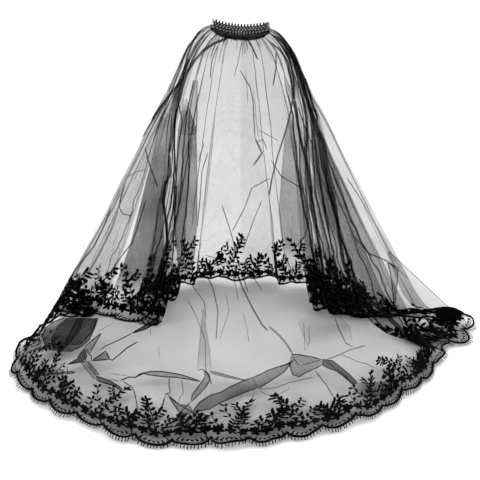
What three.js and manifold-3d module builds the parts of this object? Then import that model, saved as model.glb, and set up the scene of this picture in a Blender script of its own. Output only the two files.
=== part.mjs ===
// A mantilla veil as it is worn: one oval of black tulle, gathered onto a hair comb on the crown, that falls
// all round the head like a bell tent and spreads over the surface in front. A pierced, scalloped lace edging
// is sewn round its whole hem. Millimetres, +Z up. The origin is where the comb sits on the crown. The side
// with the longest cloth faces -Y.
import * as THREE from "three";
import { mergeVertices } from "three/addons/utils/BufferGeometryUtils.js";
import Module from "manifold-3d";

// Hang and reach of the cloth
const STAND_HEIGHT = 485; // from the comb's seat down to the surface that the hem lies on
const FRONT_REACH = 375; // hem from the crown's axis, measured on the surface, towards -Y
const SIDE_REACH = 352; // the same to either side
const BACK_REACH = 190; // the same towards +Y
const CORE_RADIUS = 98; // where the innermost folds hang, just clear of the head and neck
const RIDGE_HEIGHT = 30; // of the tallest ridge of the cloth that lies in front

// Cloth
const TULLE_WALL = 1.2;
const LACE_WALL = 1.2;
const SEAM_GAP = 0.3; // kept between any two pieces of the comb and heading
const LACE_GAP = 0.55; // between the tulle and the lace, which turn sharp folds together
const LACE_DEPTH = 126; // from the scalloped edge to the tips of the tall sprigs
const EYELET_DEPTH = 62; // from the scalloped edge to the top of the eyelets
const LACE_OVERHANG = 14; // how far the scallops stand past the tulle
const SCALLOP_DEPTH = 9;
const SCALLOPS = 58; // an even number, as every second one carries a tall sprig
const COLUMNS_PER_SCALLOP = 3;

// Comb
const COMB_WIDTH = 86;
const COMB_RISE = 7; // how much higher the comb's ends are than its middle
const COMB_LEAN = 5; // how much higher its -X end is than its +X end
const BAR_DEPTH = 5.5; // along the teeth
const BAR_THICKNESS = 3;
const TEETH = 18; // the two wide end teeth included
const TOOTH_LENGTH = 34;
const TOOTH_WIDTH = 2;
const TOOTH_THICKNESS = 2;
const END_TOOTH_WIDTH = 5;
const TOOTH_TIP_WIDTH = 0.8;
const TEETH_TILT = 8; // degrees above level

// Thread winding and gathered heading
const WINDING_WALL = 1.4;
const WINDING_RIB = 0.7; // how far each turn of thread stands out
const HEADING_DEPTH = 9; // front to back
const HEADING_DROP = 8;
const HEADING_GATHER = 0.6; // depth of the small gathers round the heading
const HEADING_GATHERS = 22; // along the heading
const HEADING_SIDES = 6; // flats round its section

// The bell's outline, from the heading down to the surface and out along it. drop is a share of the fall.
// core, front, side and back are the half widths there, as shares of CORE_RADIUS and of the three reaches.
// folded is the share of a fold's full depth that it has there, and laid how far the cloth has come along the
// surface, from 0 above it to 1 at the hem.
const LEVELS = [
  { drop: 0.014, core: 0.5, front: 0.072, side: 0.162, back: 0.09, folded: 0.02, laid: 0 },
  { drop: 0.035, core: 0.6, front: 0.118, side: 0.193, back: 0.16, folded: 0.06, laid: 0 },
  { drop: 0.075, core: 0.7, front: 0.17, side: 0.236, back: 0.28, folded: 0.15, laid: 0 },
  { drop: 0.13, core: 0.78, front: 0.212, side: 0.272, back: 0.39, folded: 0.3, laid: 0 },
  { drop: 0.2, core: 0.84, front: 0.24, side: 0.318, back: 0.47, folded: 0.5, laid: 0 },
  { drop: 0.29, core: 0.88, front: 0.252, side: 0.39, back: 0.53, folded: 0.72, laid: 0 },
  { drop: 0.39, core: 0.91, front: 0.256, side: 0.462, back: 0.57, folded: 0.9, laid: 0 },
  { drop: 0.5, core: 0.94, front: 0.259, side: 0.545, back: 0.6, folded: 1, laid: 0 },
  { drop: 0.61, core: 0.97, front: 0.269, side: 0.625, back: 0.64, folded: 1, laid: 0 },
  { drop: 0.72, core: 1.0, front: 0.293, side: 0.712, back: 0.69, folded: 1, laid: 0 },
  { drop: 0.82, core: 1.04, front: 0.333, side: 0.79, back: 0.75, folded: 1, laid: 0 },
  { drop: 0.9, core: 1.08, front: 0.387, side: 0.852, back: 0.81, folded: 1, laid: 0.02 },
  { drop: 0.96, core: 1.12, front: 0.459, side: 0.898, back: 0.86, folded: 1, laid: 0.1 },
  { drop: 0.99, core: 1.16, front: 0.533, side: 0.922, back: 0.89, folded: 1, laid: 0.25 },
  { drop: 1.0, core: 1.2, front: 0.619, side: 0.942, back: 0.92, folded: 1, laid: 0.45 },
  { drop: 1.0, core: 1.25, front: 0.747, side: 0.962, back: 0.947, folded: 1, laid: 0.65 },
  { drop: 1.0, core: 1.3, front: 0.875, side: 0.982, back: 0.971, folded: 1, laid: 0.85 },
  { drop: 1.0, core: 1.35, front: 1.0, side: 1.0, back: 1.0, folded: 1, laid: 1 },
];

// One row for each crest and trough round the veil. bearing is the angle round its oval, in degrees from -Y
// towards +X. out is how far the fold stands from the core (0) towards the bell's outline (1). hem is how far
// the hem reaches, as a share of where that puts it. ridge is how high the cloth stands off the surface that
// it lies on, as a share of RIDGE_HEIGHT. swing is how far round the fold is drawn from its bearing, in degrees.
const FOLDS = [
  { bearing: -178, out: 0.6, hem: 0.97, ridge: 0.2, swing: 0 },
  { bearing: -168, out: 1.0, hem: 1.0, ridge: 0.1, swing: 0 },
  { bearing: -158, out: 0.5, hem: 0.97, ridge: 0.2, swing: 0 },
  { bearing: -149, out: 0.8, hem: 1.0, ridge: 0.1, swing: 0 },
  { bearing: -141, out: 0.12, hem: 1.0, ridge: 0.1, swing: 12 },
  { bearing: -134, out: 0.58, hem: 1.0, ridge: 0.1, swing: 0 },
  { bearing: -126, out: 0.06, hem: 1.0, ridge: 0.0, swing: 38 },
  { bearing: -116, out: 0.95, hem: 1.0, ridge: 0.1, swing: 0 },
  { bearing: -106, out: 1.02, hem: 0.93, ridge: 0.1, swing: 0 },
  { bearing: -97, out: 0.62, hem: 1.06, ridge: 0.1, swing: 0 },
  { bearing: -90, out: 0.88, hem: 0.95, ridge: 0.2, swing: 0 },
  { bearing: -82, out: 1.0, hem: 0.98, ridge: 0.1, swing: 0 },
  { bearing: -73, out: 1.02, hem: 1.04, ridge: 0.15, swing: 0 },
  { bearing: -63, out: 0.97, hem: 1.12, ridge: 0.5, swing: 0 },
  { bearing: -53, out: 1.0, hem: 1.09, ridge: 0.1, swing: 0 },
  { bearing: -44, out: 0.97, hem: 1.1, ridge: 0.6, swing: 0 },
  { bearing: -35, out: 1.0, hem: 1.055, ridge: 0.05, swing: 0 },
  { bearing: -26, out: 0.97, hem: 1.09, ridge: 0.45, swing: 0 },
  { bearing: -17, out: 1.02, hem: 1.04, ridge: 0.05, swing: 0 },
  { bearing: -9, out: 0.97, hem: 1.04, ridge: 0.7, swing: 0 },
  { bearing: 0, out: 1.02, hem: 1.0, ridge: 0.1, swing: 0 },
  { bearing: 9, out: 0.98, hem: 1.0, ridge: 0.5, swing: 0 },
  { bearing: 18, out: 1.0, hem: 0.98, ridge: 0.05, swing: 0 },
  { bearing: 27, out: 0.96, hem: 1.0, ridge: 0.6, swing: 0 },
  { bearing: 36, out: 1.0, hem: 0.97, ridge: 0.1, swing: 0 },
  { bearing: 46, out: 0.95, hem: 0.98, ridge: 0.55, swing: 0 },
  { bearing: 56, out: 1.0, hem: 0.96, ridge: 0.1, swing: 0 },
  { bearing: 66, out: 0.96, hem: 0.98, ridge: 0.2, swing: 0 },
  { bearing: 74, out: 0.5, hem: 1.4, ridge: 0.1, swing: 0 },
  { bearing: 81, out: 0.92, hem: 1.14, ridge: 0.2, swing: 0 },
  { bearing: 89, out: 0.95, hem: 1.14, ridge: 0.9, swing: 0 },
  { bearing: 96, out: 0.28, hem: 1.25, ridge: 0.0, swing: 0 },
  { bearing: 103, out: 0.72, hem: 1.2, ridge: 0.0, swing: 0 },
  { bearing: 110, out: 0.16, hem: 1.08, ridge: 0.0, swing: -9 },
  { bearing: 117, out: 0.58, hem: 1.0, ridge: 0.1, swing: -2 },
  { bearing: 124, out: 0.07, hem: 1.0, ridge: 0.1, swing: -16 },
  { bearing: 132, out: 0.62, hem: 1.0, ridge: 0.1, swing: 0 },
  { bearing: 141, out: 0.14, hem: 0.9, ridge: 0.2, swing: -18 },
  { bearing: 151, out: 0.85, hem: 1.0, ridge: 0.1, swing: 0 },
  { bearing: 161, out: 0.5, hem: 0.97, ridge: 0.2, swing: 0 },
  { bearing: 171, out: 0.96, hem: 1.0, ridge: 0.1, swing: 0 },
];

// Shares of the way from the heading to the top of the lace at which the cloth has a row of vertices
const HANGING_ROWS = [0, 0.05, 0.13, 0.24, 0.38, 0.54, 0.71, 0.87];

const COLUMNS = SCALLOPS * COLUMNS_PER_SCALLOP;
const SURFACE_Z = -STAND_HEIGHT;
const TURN = 360;
const SHARPEST_FOLD = 0.4; // cosine of half the turn at which a wall is no longer kept even
const radians = THREE.MathUtils.degToRad;
const { lerp, smoothstep } = THREE.MathUtils;

const wasm = await Module();
wasm.setup();

// Shared helpers

function geometryOf(positions, index) {
  const geometry = new THREE.BufferGeometry();
  geometry.setAttribute("position", new THREE.Float32BufferAttribute(positions, 3));
  geometry.setIndex(index);
  return outward(geometry);
}

function solidOf(geometry) {
  const bare = geometry.clone();
  bare.deleteAttribute("normal");
  bare.deleteAttribute("uv");
  const merged = mergeVertices(bare, 1e-4);
  return new wasm.Manifold(
    new wasm.Mesh({
      numProp: 3,
      vertProperties: merged.attributes.position.array,
      triVerts: new Uint32Array(merged.index.array),
    }),
  );
}

// The same surface with its faces pointing out.
function outward(geometry) {
  if (solidOf(geometry).volume() > 0) return geometry;
  const index = geometry.index.array;
  for (let i = 0; i < index.length; i += 3) [index[i + 1], index[i + 2]] = [index[i + 2], index[i + 1]];
  return geometry;
}

// The skin between neighbouring sections, each a ring of as many points.
function skinIndex(sections) {
  const count = sections[0].length;
  const index = [];
  for (let i = 0; i + 1 < sections.length; i++)
    for (let j = 0; j < count; j++) {
      const [a, b] = [i * count + j, i * count + ((j + 1) % count)];
      index.push(a, b, b + count, a, b + count, a + count);
    }
  return index;
}

// A closed rod through sections that bulge outwards.
function rodThrough(sections) {
  const count = sections[0].length;
  const positions = sections.flat().flatMap((p) => p.toArray());
  const index = skinIndex(sections);
  const last = (sections.length - 1) * count;
  for (let j = 1; j + 1 < count; j++) index.push(0, j + 1, j, last, last + j, last + j + 1);
  return geometryOf(positions, index);
}

// A closed channel through sections whose first half is its inside and whose second half is its outside.
function channelThrough(sections) {
  const count = sections[0].length;
  const positions = sections.flat().flatMap((p) => p.toArray());
  const index = skinIndex(sections);
  const last = (sections.length - 1) * count;
  for (let j = 0; j + 1 < count / 2; j++) {
    const [a, b, c, d] = [j, j + 1, count - 2 - j, count - 1 - j];
    index.push(a, c, b, a, d, c, last + a, last + b, last + c, last + a, last + c, last + d);
  }
  return geometryOf(positions, index);
}

// Comb: a curved bar, and teeth that taper towards their tips, the end ones wider.

const combArc = (x) => COMB_RISE * ((2 * x) / COMB_WIDTH) ** 2 - (COMB_LEAN * x) / COMB_WIDTH;

function barSections(steps, front, back, low, high) {
  return Array.from({ length: steps + 1 }, (_, i) => {
    const x = lerp(-COMB_WIDTH / 2, COMB_WIDTH / 2, i / steps);
    const z = combArc(x);
    return [[front, low], [back, low], [back, high], [front, high]].map(
      ([y, height]) => new THREE.Vector3(x, y, z + height),
    );
  });
}

function tooth(x, width, tipWidth) {
  const slope = Math.tan(radians(TEETH_TILT));
  const low = (BAR_THICKNESS - TOOTH_THICKNESS) / 2;
  const places = [
    [-BAR_DEPTH / 2, width],
    [TOOTH_LENGTH * 0.7, width],
    [TOOTH_LENGTH, tipWidth],
  ];
  return rodThrough(
    places.map(([y, across]) => {
      const z = low + Math.max(y, 0) * slope;
      const [left, right] = [x - across / 2, x + across / 2];
      return [
        new THREE.Vector3(left, y, combArc(left) + z),
        new THREE.Vector3(right, y, combArc(right) + z),
        new THREE.Vector3(right, y, combArc(right) + z + TOOTH_THICKNESS),
        new THREE.Vector3(left, y, combArc(left) + z + TOOTH_THICKNESS),
      ];
    }),
  );
}

function comb() {
  let solid = solidOf(rodThrough(barSections(TEETH - 1, -BAR_DEPTH, 0, 0, BAR_THICKNESS)));
  const first = (COMB_WIDTH - END_TOOTH_WIDTH) / 2;
  for (let i = 0; i < TEETH; i++) {
    const atEnd = i === 0 || i === TEETH - 1;
    const width = atEnd ? END_TOOTH_WIDTH : TOOTH_WIDTH;
    const tip = atEnd ? width / 2 : TOOTH_TIP_WIDTH;
    solid = solid.add(solidOf(tooth(lerp(-first, first, i / (TEETH - 1)), width, tip)));
  }
  const { vertProperties, triVerts } = solid.getMesh();
  return geometryOf([...vertProperties], [...triVerts]);
}

// Winding: thread wound over the bar between the teeth, a ribbed channel that is open towards the teeth.
function threadWinding() {
  const turns = TEETH - 1;
  const sections = [];
  for (let i = 0; i <= 2 * turns; i++) {
    const x = lerp(-COMB_WIDTH / 2, COMB_WIDTH / 2, i / (2 * turns));
    const wall = WINDING_WALL + (i % 2 === 1 ? WINDING_RIB : 0);
    const low = combArc(x) - SEAM_GAP;
    const high = combArc(x) + BAR_THICKNESS + SEAM_GAP;
    const front = -BAR_DEPTH - SEAM_GAP;
    const back = -SEAM_GAP;
    sections.push([
      new THREE.Vector3(x, back, low),
      new THREE.Vector3(x, front, low),
      new THREE.Vector3(x, front, high),
      new THREE.Vector3(x, back, high),
      new THREE.Vector3(x, back, high + wall),
      new THREE.Vector3(x, front - wall, high + wall),
      new THREE.Vector3(x, front - wall, low - wall),
      new THREE.Vector3(x, back, low - wall),
    ]);
  }
  return channelThrough(sections);
}

// Heading: the gathered cloth that is rolled and sewn under the bar, a rod with small gathers all along it.

const windingBottom = -SEAM_GAP - WINDING_WALL - WINDING_RIB;
const headingMiddleY = -BAR_DEPTH / 2 - 1;
const headingMiddleZ = windingBottom - SEAM_GAP - HEADING_DROP / 2;
const headingHalf = COMB_WIDTH / 2 + 1;

function gatheredHeading() {
  const steps = 2 * HEADING_GATHERS;
  const sections = [];
  for (let i = 0; i <= steps; i++) {
    const along = (2 * i) / steps - 1;
    const x = headingHalf * along;
    const end = Math.max(1 - Math.abs(along) ** 4, 0.15) ** 0.5;
    const gather = i % 2 === 0 ? HEADING_GATHER : 0;
    const ring = [];
    for (let j = 0; j < HEADING_SIDES; j++) {
      const angle = (2 * Math.PI * (j + 0.5)) / HEADING_SIDES;
      const y = headingMiddleY + (HEADING_DEPTH / 2 - gather) * end * Math.cos(angle);
      const z = headingMiddleZ + combArc(x) + (HEADING_DROP / 2 - gather) * end * Math.sin(angle);
      ring.push(new THREE.Vector3(x, y, z));
    }
    sections.push(ring);
  }
  return rodThrough(sections);
}

// The middle surface of the draped cloth

function foldAt(bearing) {
  const next = FOLDS.findIndex((row) => row.bearing > bearing);
  const after = next < 0 ? 0 : next;
  const [from, to] = [FOLDS[(after + FOLDS.length - 1) % FOLDS.length], FOLDS[after]];
  const span = (to.bearing - from.bearing + TURN) % TURN;
  const share = smoothstep(((bearing - from.bearing + TURN) % TURN) / span, 0, 1);
  return {
    out: lerp(from.out, to.out, share),
    hem: lerp(from.hem, to.hem, share),
    ridge: lerp(from.ridge, to.ridge, share),
    swing: lerp(from.swing, to.swing, share),
  };
}

// Where the cloth starts, on a rounded oblong just clear of the heading.
function headingRing(across, ahead) {
  const rounded = (value) => Math.sign(value) * Math.abs(value) ** (2 / 3);
  const clear = SEAM_GAP + TULLE_WALL / 2;
  const x = (headingHalf + 2 * clear) * rounded(across);
  const flat = (HEADING_DEPTH / 2) * Math.cos(Math.PI / HEADING_SIDES);
  const y = headingMiddleY - (flat + clear) * rounded(ahead);
  return new THREE.Vector3(x, y, headingMiddleZ + combArc(x));
}

// The line that the cloth follows at one bearing, from the heading to the scalloped edge.
function fallLine(bearing) {
  const fold = foldAt(bearing);
  const start = headingRing(Math.sin(radians(bearing)), Math.cos(radians(bearing)));
  const lowest = SURFACE_Z + TULLE_WALL / 2 + LACE_GAP + LACE_WALL;
  const points = [start];
  for (const level of LEVELS) {
    const angle = radians(bearing + fold.swing * level.folded);
    const [across, ahead] = [Math.sin(angle), Math.cos(angle)];
    const core = level.core * CORE_RADIUS;
    const out = 1 - level.folded * (1 - fold.out);
    const reach = lerp(1, fold.hem, level.laid);
    const wide = lerp(core, level.side * SIDE_REACH, out) * reach;
    const deep = lerp(core, ahead > 0 ? level.front * FRONT_REACH : level.back * BACK_REACH, out) * reach;
    const lift = fold.ridge * RIDGE_HEIGHT * Math.sin(Math.PI * level.laid);
    const z = lerp(start.z, lowest, level.drop) + lift;
    points.push(new THREE.Vector3(wide * across, -deep * ahead, z));
  }
  const line = new THREE.CatmullRomCurve3(points, false, "centripetal").getPoints(4 * points.length);
  for (const p of line) p.z = Math.max(p.z, lowest);
  return line;
}

// The point at a distance along a line, measured from its far end.
function backAlong(line, distance) {
  let left = distance;
  for (let i = line.length - 1; i > 0; i--) {
    const step = line[i].distanceTo(line[i - 1]);
    if (left <= step) return line[i].clone().lerp(line[i - 1], left / step);
    left -= step;
  }
  return line[0].clone();
}

const lengthOf = (line) => line.slice(1).reduce((sum, p, i) => sum + p.distanceTo(line[i]), 0);

// Bearings at which the hem is divided evenly, so that every scallop is as wide as the next.
function evenBearings() {
  const trials = Array.from({ length: 4 * 360 + 1 }, (_, i) => -180 + i / 4);
  const hem = trials.map((bearing) => fallLine(bearing).at(-1));
  const along = [0];
  for (let i = 1; i < hem.length; i++) along.push(along[i - 1] + hem[i].distanceTo(hem[i - 1]));
  const even = [];
  for (let i = 0, k = 0; i < COLUMNS; i++) {
    const wanted = (along.at(-1) * i) / COLUMNS;
    while (along[k + 1] < wanted) k++;
    even.push(lerp(trials[k], trials[k + 1], (wanted - along[k]) / (along[k + 1] - along[k])));
  }
  return even;
}

// One column of points for each bearing, from the heading down to the scalloped edge, and their normals.
const LACE_ROWS = [LACE_DEPTH, EYELET_DEPTH, LACE_OVERHANG, 0];
const TULLE_ROW_COUNT = HANGING_ROWS.length + LACE_ROWS.length - 1;

function clothGrid() {
  return evenBearings().map((bearing, i) => {
    const line = fallLine(bearing);
    const whole = lengthOf(line);
    const bite = i % COLUMNS_PER_SCALLOP === 0 ? SCALLOP_DEPTH : 0;
    const hanging = HANGING_ROWS.map((share) => backAlong(line, lerp(whole, LACE_DEPTH, share)));
    const lace = LACE_ROWS.map((distance) => backAlong(line, distance === 0 ? bite : distance));
    return [...hanging, ...lace];
  });
}

// At each point the way that a wall's face is moved out, lengthened on a sharp fold so that the wall and its
// gaps stay as wide on both sides of it.
function normalsOf(grid) {
  const [columns, rows] = [grid.length, grid[0].length];
  return grid.map((column, i) => {
    const [before, after] = [grid[(i + columns - 1) % columns], grid[(i + 1) % columns]];
    return column.map((p, j) => {
      const down = column[Math.min(j + 1, rows - 1)].clone().sub(column[Math.max(j - 1, 0)]);
      const left = down.clone().cross(p.clone().sub(before[j])).normalize();
      const right = down.clone().cross(after[j].clone().sub(p)).normalize();
      const normal = left.clone().add(right).normalize();
      return normal.divideScalar(Math.max(normal.dot(left), SHARPEST_FOLD));
    });
  });
}

const grid = clothGrid();
const normals = normalsOf(grid);

// A wall over rows of the grid, between two heights along the normals. keeps says which cells are cloth.
function wallOver(firstRow, lastRow, low, high, keeps) {
  const rows = grid[0].length;
  const positions = [];
  for (const height of [high, low])
    grid.forEach((column, i) =>
      column.forEach((p, j) => positions.push(...p.clone().addScaledVector(normals[i][j], height).toArray())),
    );
  const outer = (i, j) => ((i + COLUMNS) % COLUMNS) * rows + j;
  const inner = (i, j) => COLUMNS * rows + outer(i, j);
  const kept = (i, j) => j >= firstRow && j < lastRow && keeps((i + COLUMNS) % COLUMNS, j - firstRow);
  const index = [];
  const quad = (a, b, c, d) => index.push(a, b, c, a, c, d);
  for (let i = 0; i < COLUMNS; i++)
    for (let j = firstRow; j < lastRow; j++) {
      if (!kept(i, j)) continue;
      quad(outer(i, j), outer(i, j + 1), outer(i + 1, j + 1), outer(i + 1, j));
      quad(inner(i, j), inner(i + 1, j), inner(i + 1, j + 1), inner(i, j + 1));
      if (!kept(i, j - 1)) quad(outer(i, j), outer(i + 1, j), inner(i + 1, j), inner(i, j));
      if (!kept(i, j + 1)) quad(outer(i + 1, j + 1), outer(i, j + 1), inner(i, j + 1), inner(i + 1, j + 1));
      if (!kept(i - 1, j)) quad(outer(i, j + 1), outer(i, j), inner(i, j), inner(i, j + 1));
      if (!kept(i + 1, j)) quad(outer(i + 1, j), outer(i + 1, j + 1), inner(i + 1, j + 1), inner(i + 1, j));
    }
  const used = [...new Set(index)].sort((a, b) => a - b);
  const place = new Map(used.map((v, k) => [v, k]));
  return geometryOf(used.flatMap((v) => positions.slice(3 * v, 3 * v + 3)), index.map((v) => place.get(v)));
}

function tulleDrape() {
  return wallOver(0, TULLE_ROW_COUNT - 1, -TULLE_WALL / 2, TULLE_WALL / 2, () => true);
}

// Lace: a band on the tulle with a scalloped edge. To every second scallop stands a tall sprig, with an open
// notch beside it and an eyelet at its foot.
function laceEdging() {
  const low = TULLE_WALL / 2 + LACE_GAP;
  const sprigRow = 0;
  const eyeletRow = 1;
  const keeps = (i, row) => {
    const place = i % (2 * COLUMNS_PER_SCALLOP);
    if (row === sprigRow) return place !== 0;
    if (row === eyeletRow) return place !== COLUMNS_PER_SCALLOP;
    return true;
  };
  const top = HANGING_ROWS.length;
  return wallOver(top, top + LACE_ROWS.length - 1, low, low + LACE_WALL, keeps);
}

// Materials and the finished veil

const blackPlastic = new THREE.MeshStandardMaterial({ color: 0x0b0b0c, roughness: 0.35, metalness: 0 });
const blackThread = new THREE.MeshStandardMaterial({ color: 0x101011, roughness: 0.8, metalness: 0 });
const blackTulle = new THREE.MeshStandardMaterial({ color: 0x1b1b1d, roughness: 0.9, metalness: 0 });
const blackLace = new THREE.MeshStandardMaterial({ color: 0x0c0c0d, roughness: 0.85, metalness: 0 });

const veil = new THREE.Group();
for (const [name, geometry, material] of [
  ["hair_comb", comb(), blackPlastic],
  ["thread_winding", threadWinding(), blackThread],
  ["gathered_heading", gatheredHeading(), blackTulle],
  ["tulle_drape", tulleDrape(), blackTulle],
  ["lace_edging", laceEdging(), blackLace],
]) {
  const mesh = new THREE.Mesh(geometry, material);
  mesh.name = name;
  veil.add(mesh);
}

export default veil;
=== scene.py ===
# A black tulle veil on a hair comb, held up as it is worn. The sections follow it as it is put together: the
# comb, the thread that binds it, the gathered heading, the drape of net with its pleats, and the lace edging.
import math

import bmesh
import bpy
import numpy as np
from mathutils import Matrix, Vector
from mathutils.bvhtree import BVHTree


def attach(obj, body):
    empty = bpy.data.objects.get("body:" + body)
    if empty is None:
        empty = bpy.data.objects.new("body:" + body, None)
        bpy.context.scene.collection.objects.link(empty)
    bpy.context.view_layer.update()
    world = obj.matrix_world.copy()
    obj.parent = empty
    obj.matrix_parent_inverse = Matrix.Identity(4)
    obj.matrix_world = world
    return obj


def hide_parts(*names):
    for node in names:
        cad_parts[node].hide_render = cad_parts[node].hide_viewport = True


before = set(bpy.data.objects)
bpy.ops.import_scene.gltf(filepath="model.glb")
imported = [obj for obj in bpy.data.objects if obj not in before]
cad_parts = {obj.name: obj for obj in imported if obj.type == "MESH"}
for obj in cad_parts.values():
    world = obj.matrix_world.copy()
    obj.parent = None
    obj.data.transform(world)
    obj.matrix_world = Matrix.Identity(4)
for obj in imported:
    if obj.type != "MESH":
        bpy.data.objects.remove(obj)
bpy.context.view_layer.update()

scene = bpy.context.scene
scene.view_settings.view_transform = "Standard"
scene.cycles.transparent_max_bounces = 28

# Camera. It looks down a little on the veil from in front, and stands straight ahead of it.

IMAGE_SIZE = 480
FOCAL_PIXELS = 1050
STAND_HEIGHT = 0.485
CAMERA_DISTANCE = 1.566
CAMERA_HEIGHT = 0.785
CAMERA_TILT = math.radians(22)
CAMERA_PLACE = Vector((0, -CAMERA_DISTANCE, CAMERA_HEIGHT - STAND_HEIGHT))

lens = bpy.data.cameras.new("camera")
lens.sensor_width = 36
lens.lens = FOCAL_PIXELS / IMAGE_SIZE * lens.sensor_width
camera = bpy.data.objects.new("camera", lens)
camera.location = CAMERA_PLACE
camera.rotation_euler = (math.pi / 2 - CAMERA_TILT, 0, 0)
scene.collection.objects.link(camera)
scene.camera = camera

# Comb. The real one is moulded in black plastic: a curved bar and a row of round, tapering teeth, with a wide
# tooth at each end. It is pushed back into the hair, and its ends stand higher than its middle.

COMB_WIDTH = 0.086
COMB_RISE = 0.007
COMB_LEAN = 0.005
BAR_DEPTH = 0.0055
BAR_THICKNESS = 0.003
TEETH = 18
TOOTH_LENGTH = 0.034
TOOTH_WIDTH = 0.002
END_TOOTH_WIDTH = 0.005
TEETH_TILT = math.radians(8)
TOOTH_TAPER = 0.2
TAPER_START = 0.35
TIP_LENGTH = 0.002
TIP_RINGS = ((0.86, 0.0012), (0.7, 0.0006), (0.5, 0.0002))
PLASTIC_BLACK = (0.002, 0.002, 0.0022, 1)


def comb_arc(x):
    """How high the bar stands there above its middle."""
    return COMB_RISE * (2 * x / COMB_WIDTH) ** 2 - COMB_LEAN * x / COMB_WIDTH


def tooth_x(number):
    """Where a tooth stands along the bar. Half a number further is the middle of the gap after it."""
    outermost = (COMB_WIDTH - END_TOOTH_WIDTH) / 2
    return 2 * outermost * number / (TEETH - 1) - outermost


def shaded(material, kind, **inputs):
    """A new node of that kind, with its inputs linked to sockets or set to values."""
    node = material.node_tree.nodes.new(kind)
    for name, value in inputs.items():
        socket = node.inputs[name.replace("_", " ")]
        if isinstance(value, bpy.types.NodeSocket):
            material.node_tree.links.new(value, socket)
        else:
            socket.default_value = value
    return node


def new_material(name, colour, roughness, gloss):
    material = bpy.data.materials.new(name)
    material.use_nodes = True
    shader = material.node_tree.nodes["Principled BSDF"]
    shader.inputs["Base Color"].default_value = colour
    shader.inputs["Roughness"].default_value = roughness
    shader.inputs["Specular IOR Level"].default_value = gloss
    return material, shader


def bumped(material, shader, height, strength, distance):
    bump = shaded(material, "ShaderNodeBump", Height=height, Strength=strength, Distance=distance)
    material.node_tree.links.new(bump.outputs["Normal"], shader.inputs["Normal"])


def plastic_material():
    material, shader = new_material("comb_plastic", PLASTIC_BLACK, 0.25, 1.0)
    place = shaded(material, "ShaderNodeTexCoord").outputs["Object"]
    scuffs = shaded(material, "ShaderNodeTexNoise", Vector=place, Scale=900.0, Detail=4.0)
    flow = shaded(material, "ShaderNodeTexNoise", Vector=place, Scale=120.0, Detail=2.0)
    spread = shaded(material, "ShaderNodeMapRange", Value=flow.outputs["Fac"], To_Min=0.15, To_Max=0.3)
    material.node_tree.links.new(spread.outputs["Result"], shader.inputs["Roughness"])
    shader.inputs["Coat Weight"].default_value = 0.7
    shader.inputs["Coat Roughness"].default_value = 0.15
    shader.inputs["Coat IOR"].default_value = 1.8
    bumped(material, shader, scuffs.outputs["Fac"], 0.15, 0.0002)
    return material


def deselect_all():
    bpy.ops.object.select_all(action="DESELECT")


def apply_place(thing):
    """Moves the object's place, turn and size into its mesh."""
    deselect_all()
    thing.select_set(True)
    bpy.context.view_layer.objects.active = thing
    bpy.ops.object.transform_apply(location=True, rotation=True, scale=True)


def joined(name, things):
    deselect_all()
    for thing in things:
        thing.select_set(True)
    bpy.context.view_layer.objects.active = things[0]
    bpy.ops.object.join()
    whole = bpy.context.view_layer.objects.active
    whole.name = name
    whole.data.name = name
    return whole


def comb_bar():
    bpy.ops.mesh.primitive_cube_add(size=1, location=(0, -BAR_DEPTH / 2, BAR_THICKNESS / 2))
    bar = bpy.context.object
    bar.scale = (COMB_WIDTH, BAR_DEPTH, BAR_THICKNESS)
    apply_place(bar)
    mesh = bmesh.new()
    mesh.from_mesh(bar.data)
    lengthwise = [
        edge for edge in mesh.edges if abs(edge.verts[0].co.x - edge.verts[1].co.x) > COMB_WIDTH / 2
    ]
    bmesh.ops.subdivide_edges(mesh, edges=lengthwise, cuts=4 * (TEETH - 1) - 1, use_grid_fill=True)
    mesh.to_mesh(bar.data)
    mesh.free()
    return bar


def comb_tooth(x, width):
    """A round tooth, tapered and rounded off at its tip."""
    wide = width / TOOTH_WIDTH
    length = TOOTH_LENGTH + BAR_DEPTH / 2
    bpy.ops.mesh.primitive_cylinder_add(vertices=10, radius=TOOTH_WIDTH / 2, depth=length)
    tooth = bpy.context.object
    bpy.ops.object.mode_set(mode="EDIT")
    bpy.ops.mesh.select_all(action="DESELECT")
    bpy.ops.object.mode_set(mode="OBJECT")
    for face in tooth.data.polygons:
        face.select = face.normal.z > 0.9
    bpy.ops.object.mode_set(mode="EDIT")
    for shrink, step in TIP_RINGS:
        bpy.ops.mesh.extrude_region_move(TRANSFORM_OT_translate={"value": (0, 0, step)})
        bpy.ops.transform.resize(value=(shrink, shrink, 1))
    bpy.ops.object.mode_set(mode="OBJECT")
    for corner in tooth.data.vertices:
        along = (corner.co.z + length / 2) / length
        taper = 1 - TOOTH_TAPER * max(along - TAPER_START, 0) / (1 - TAPER_START)
        y = along * (TOOTH_LENGTH - TIP_LENGTH + BAR_DEPTH / 2) - BAR_DEPTH / 2
        lift = max(y, 0) * math.tan(TEETH_TILT)
        sideways = x + corner.co.x * wide * taper
        height = comb_arc(sideways) + BAR_THICKNESS / 2 + corner.co.y * taper + lift
        corner.co = (sideways, y, height)
    return tooth


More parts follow.
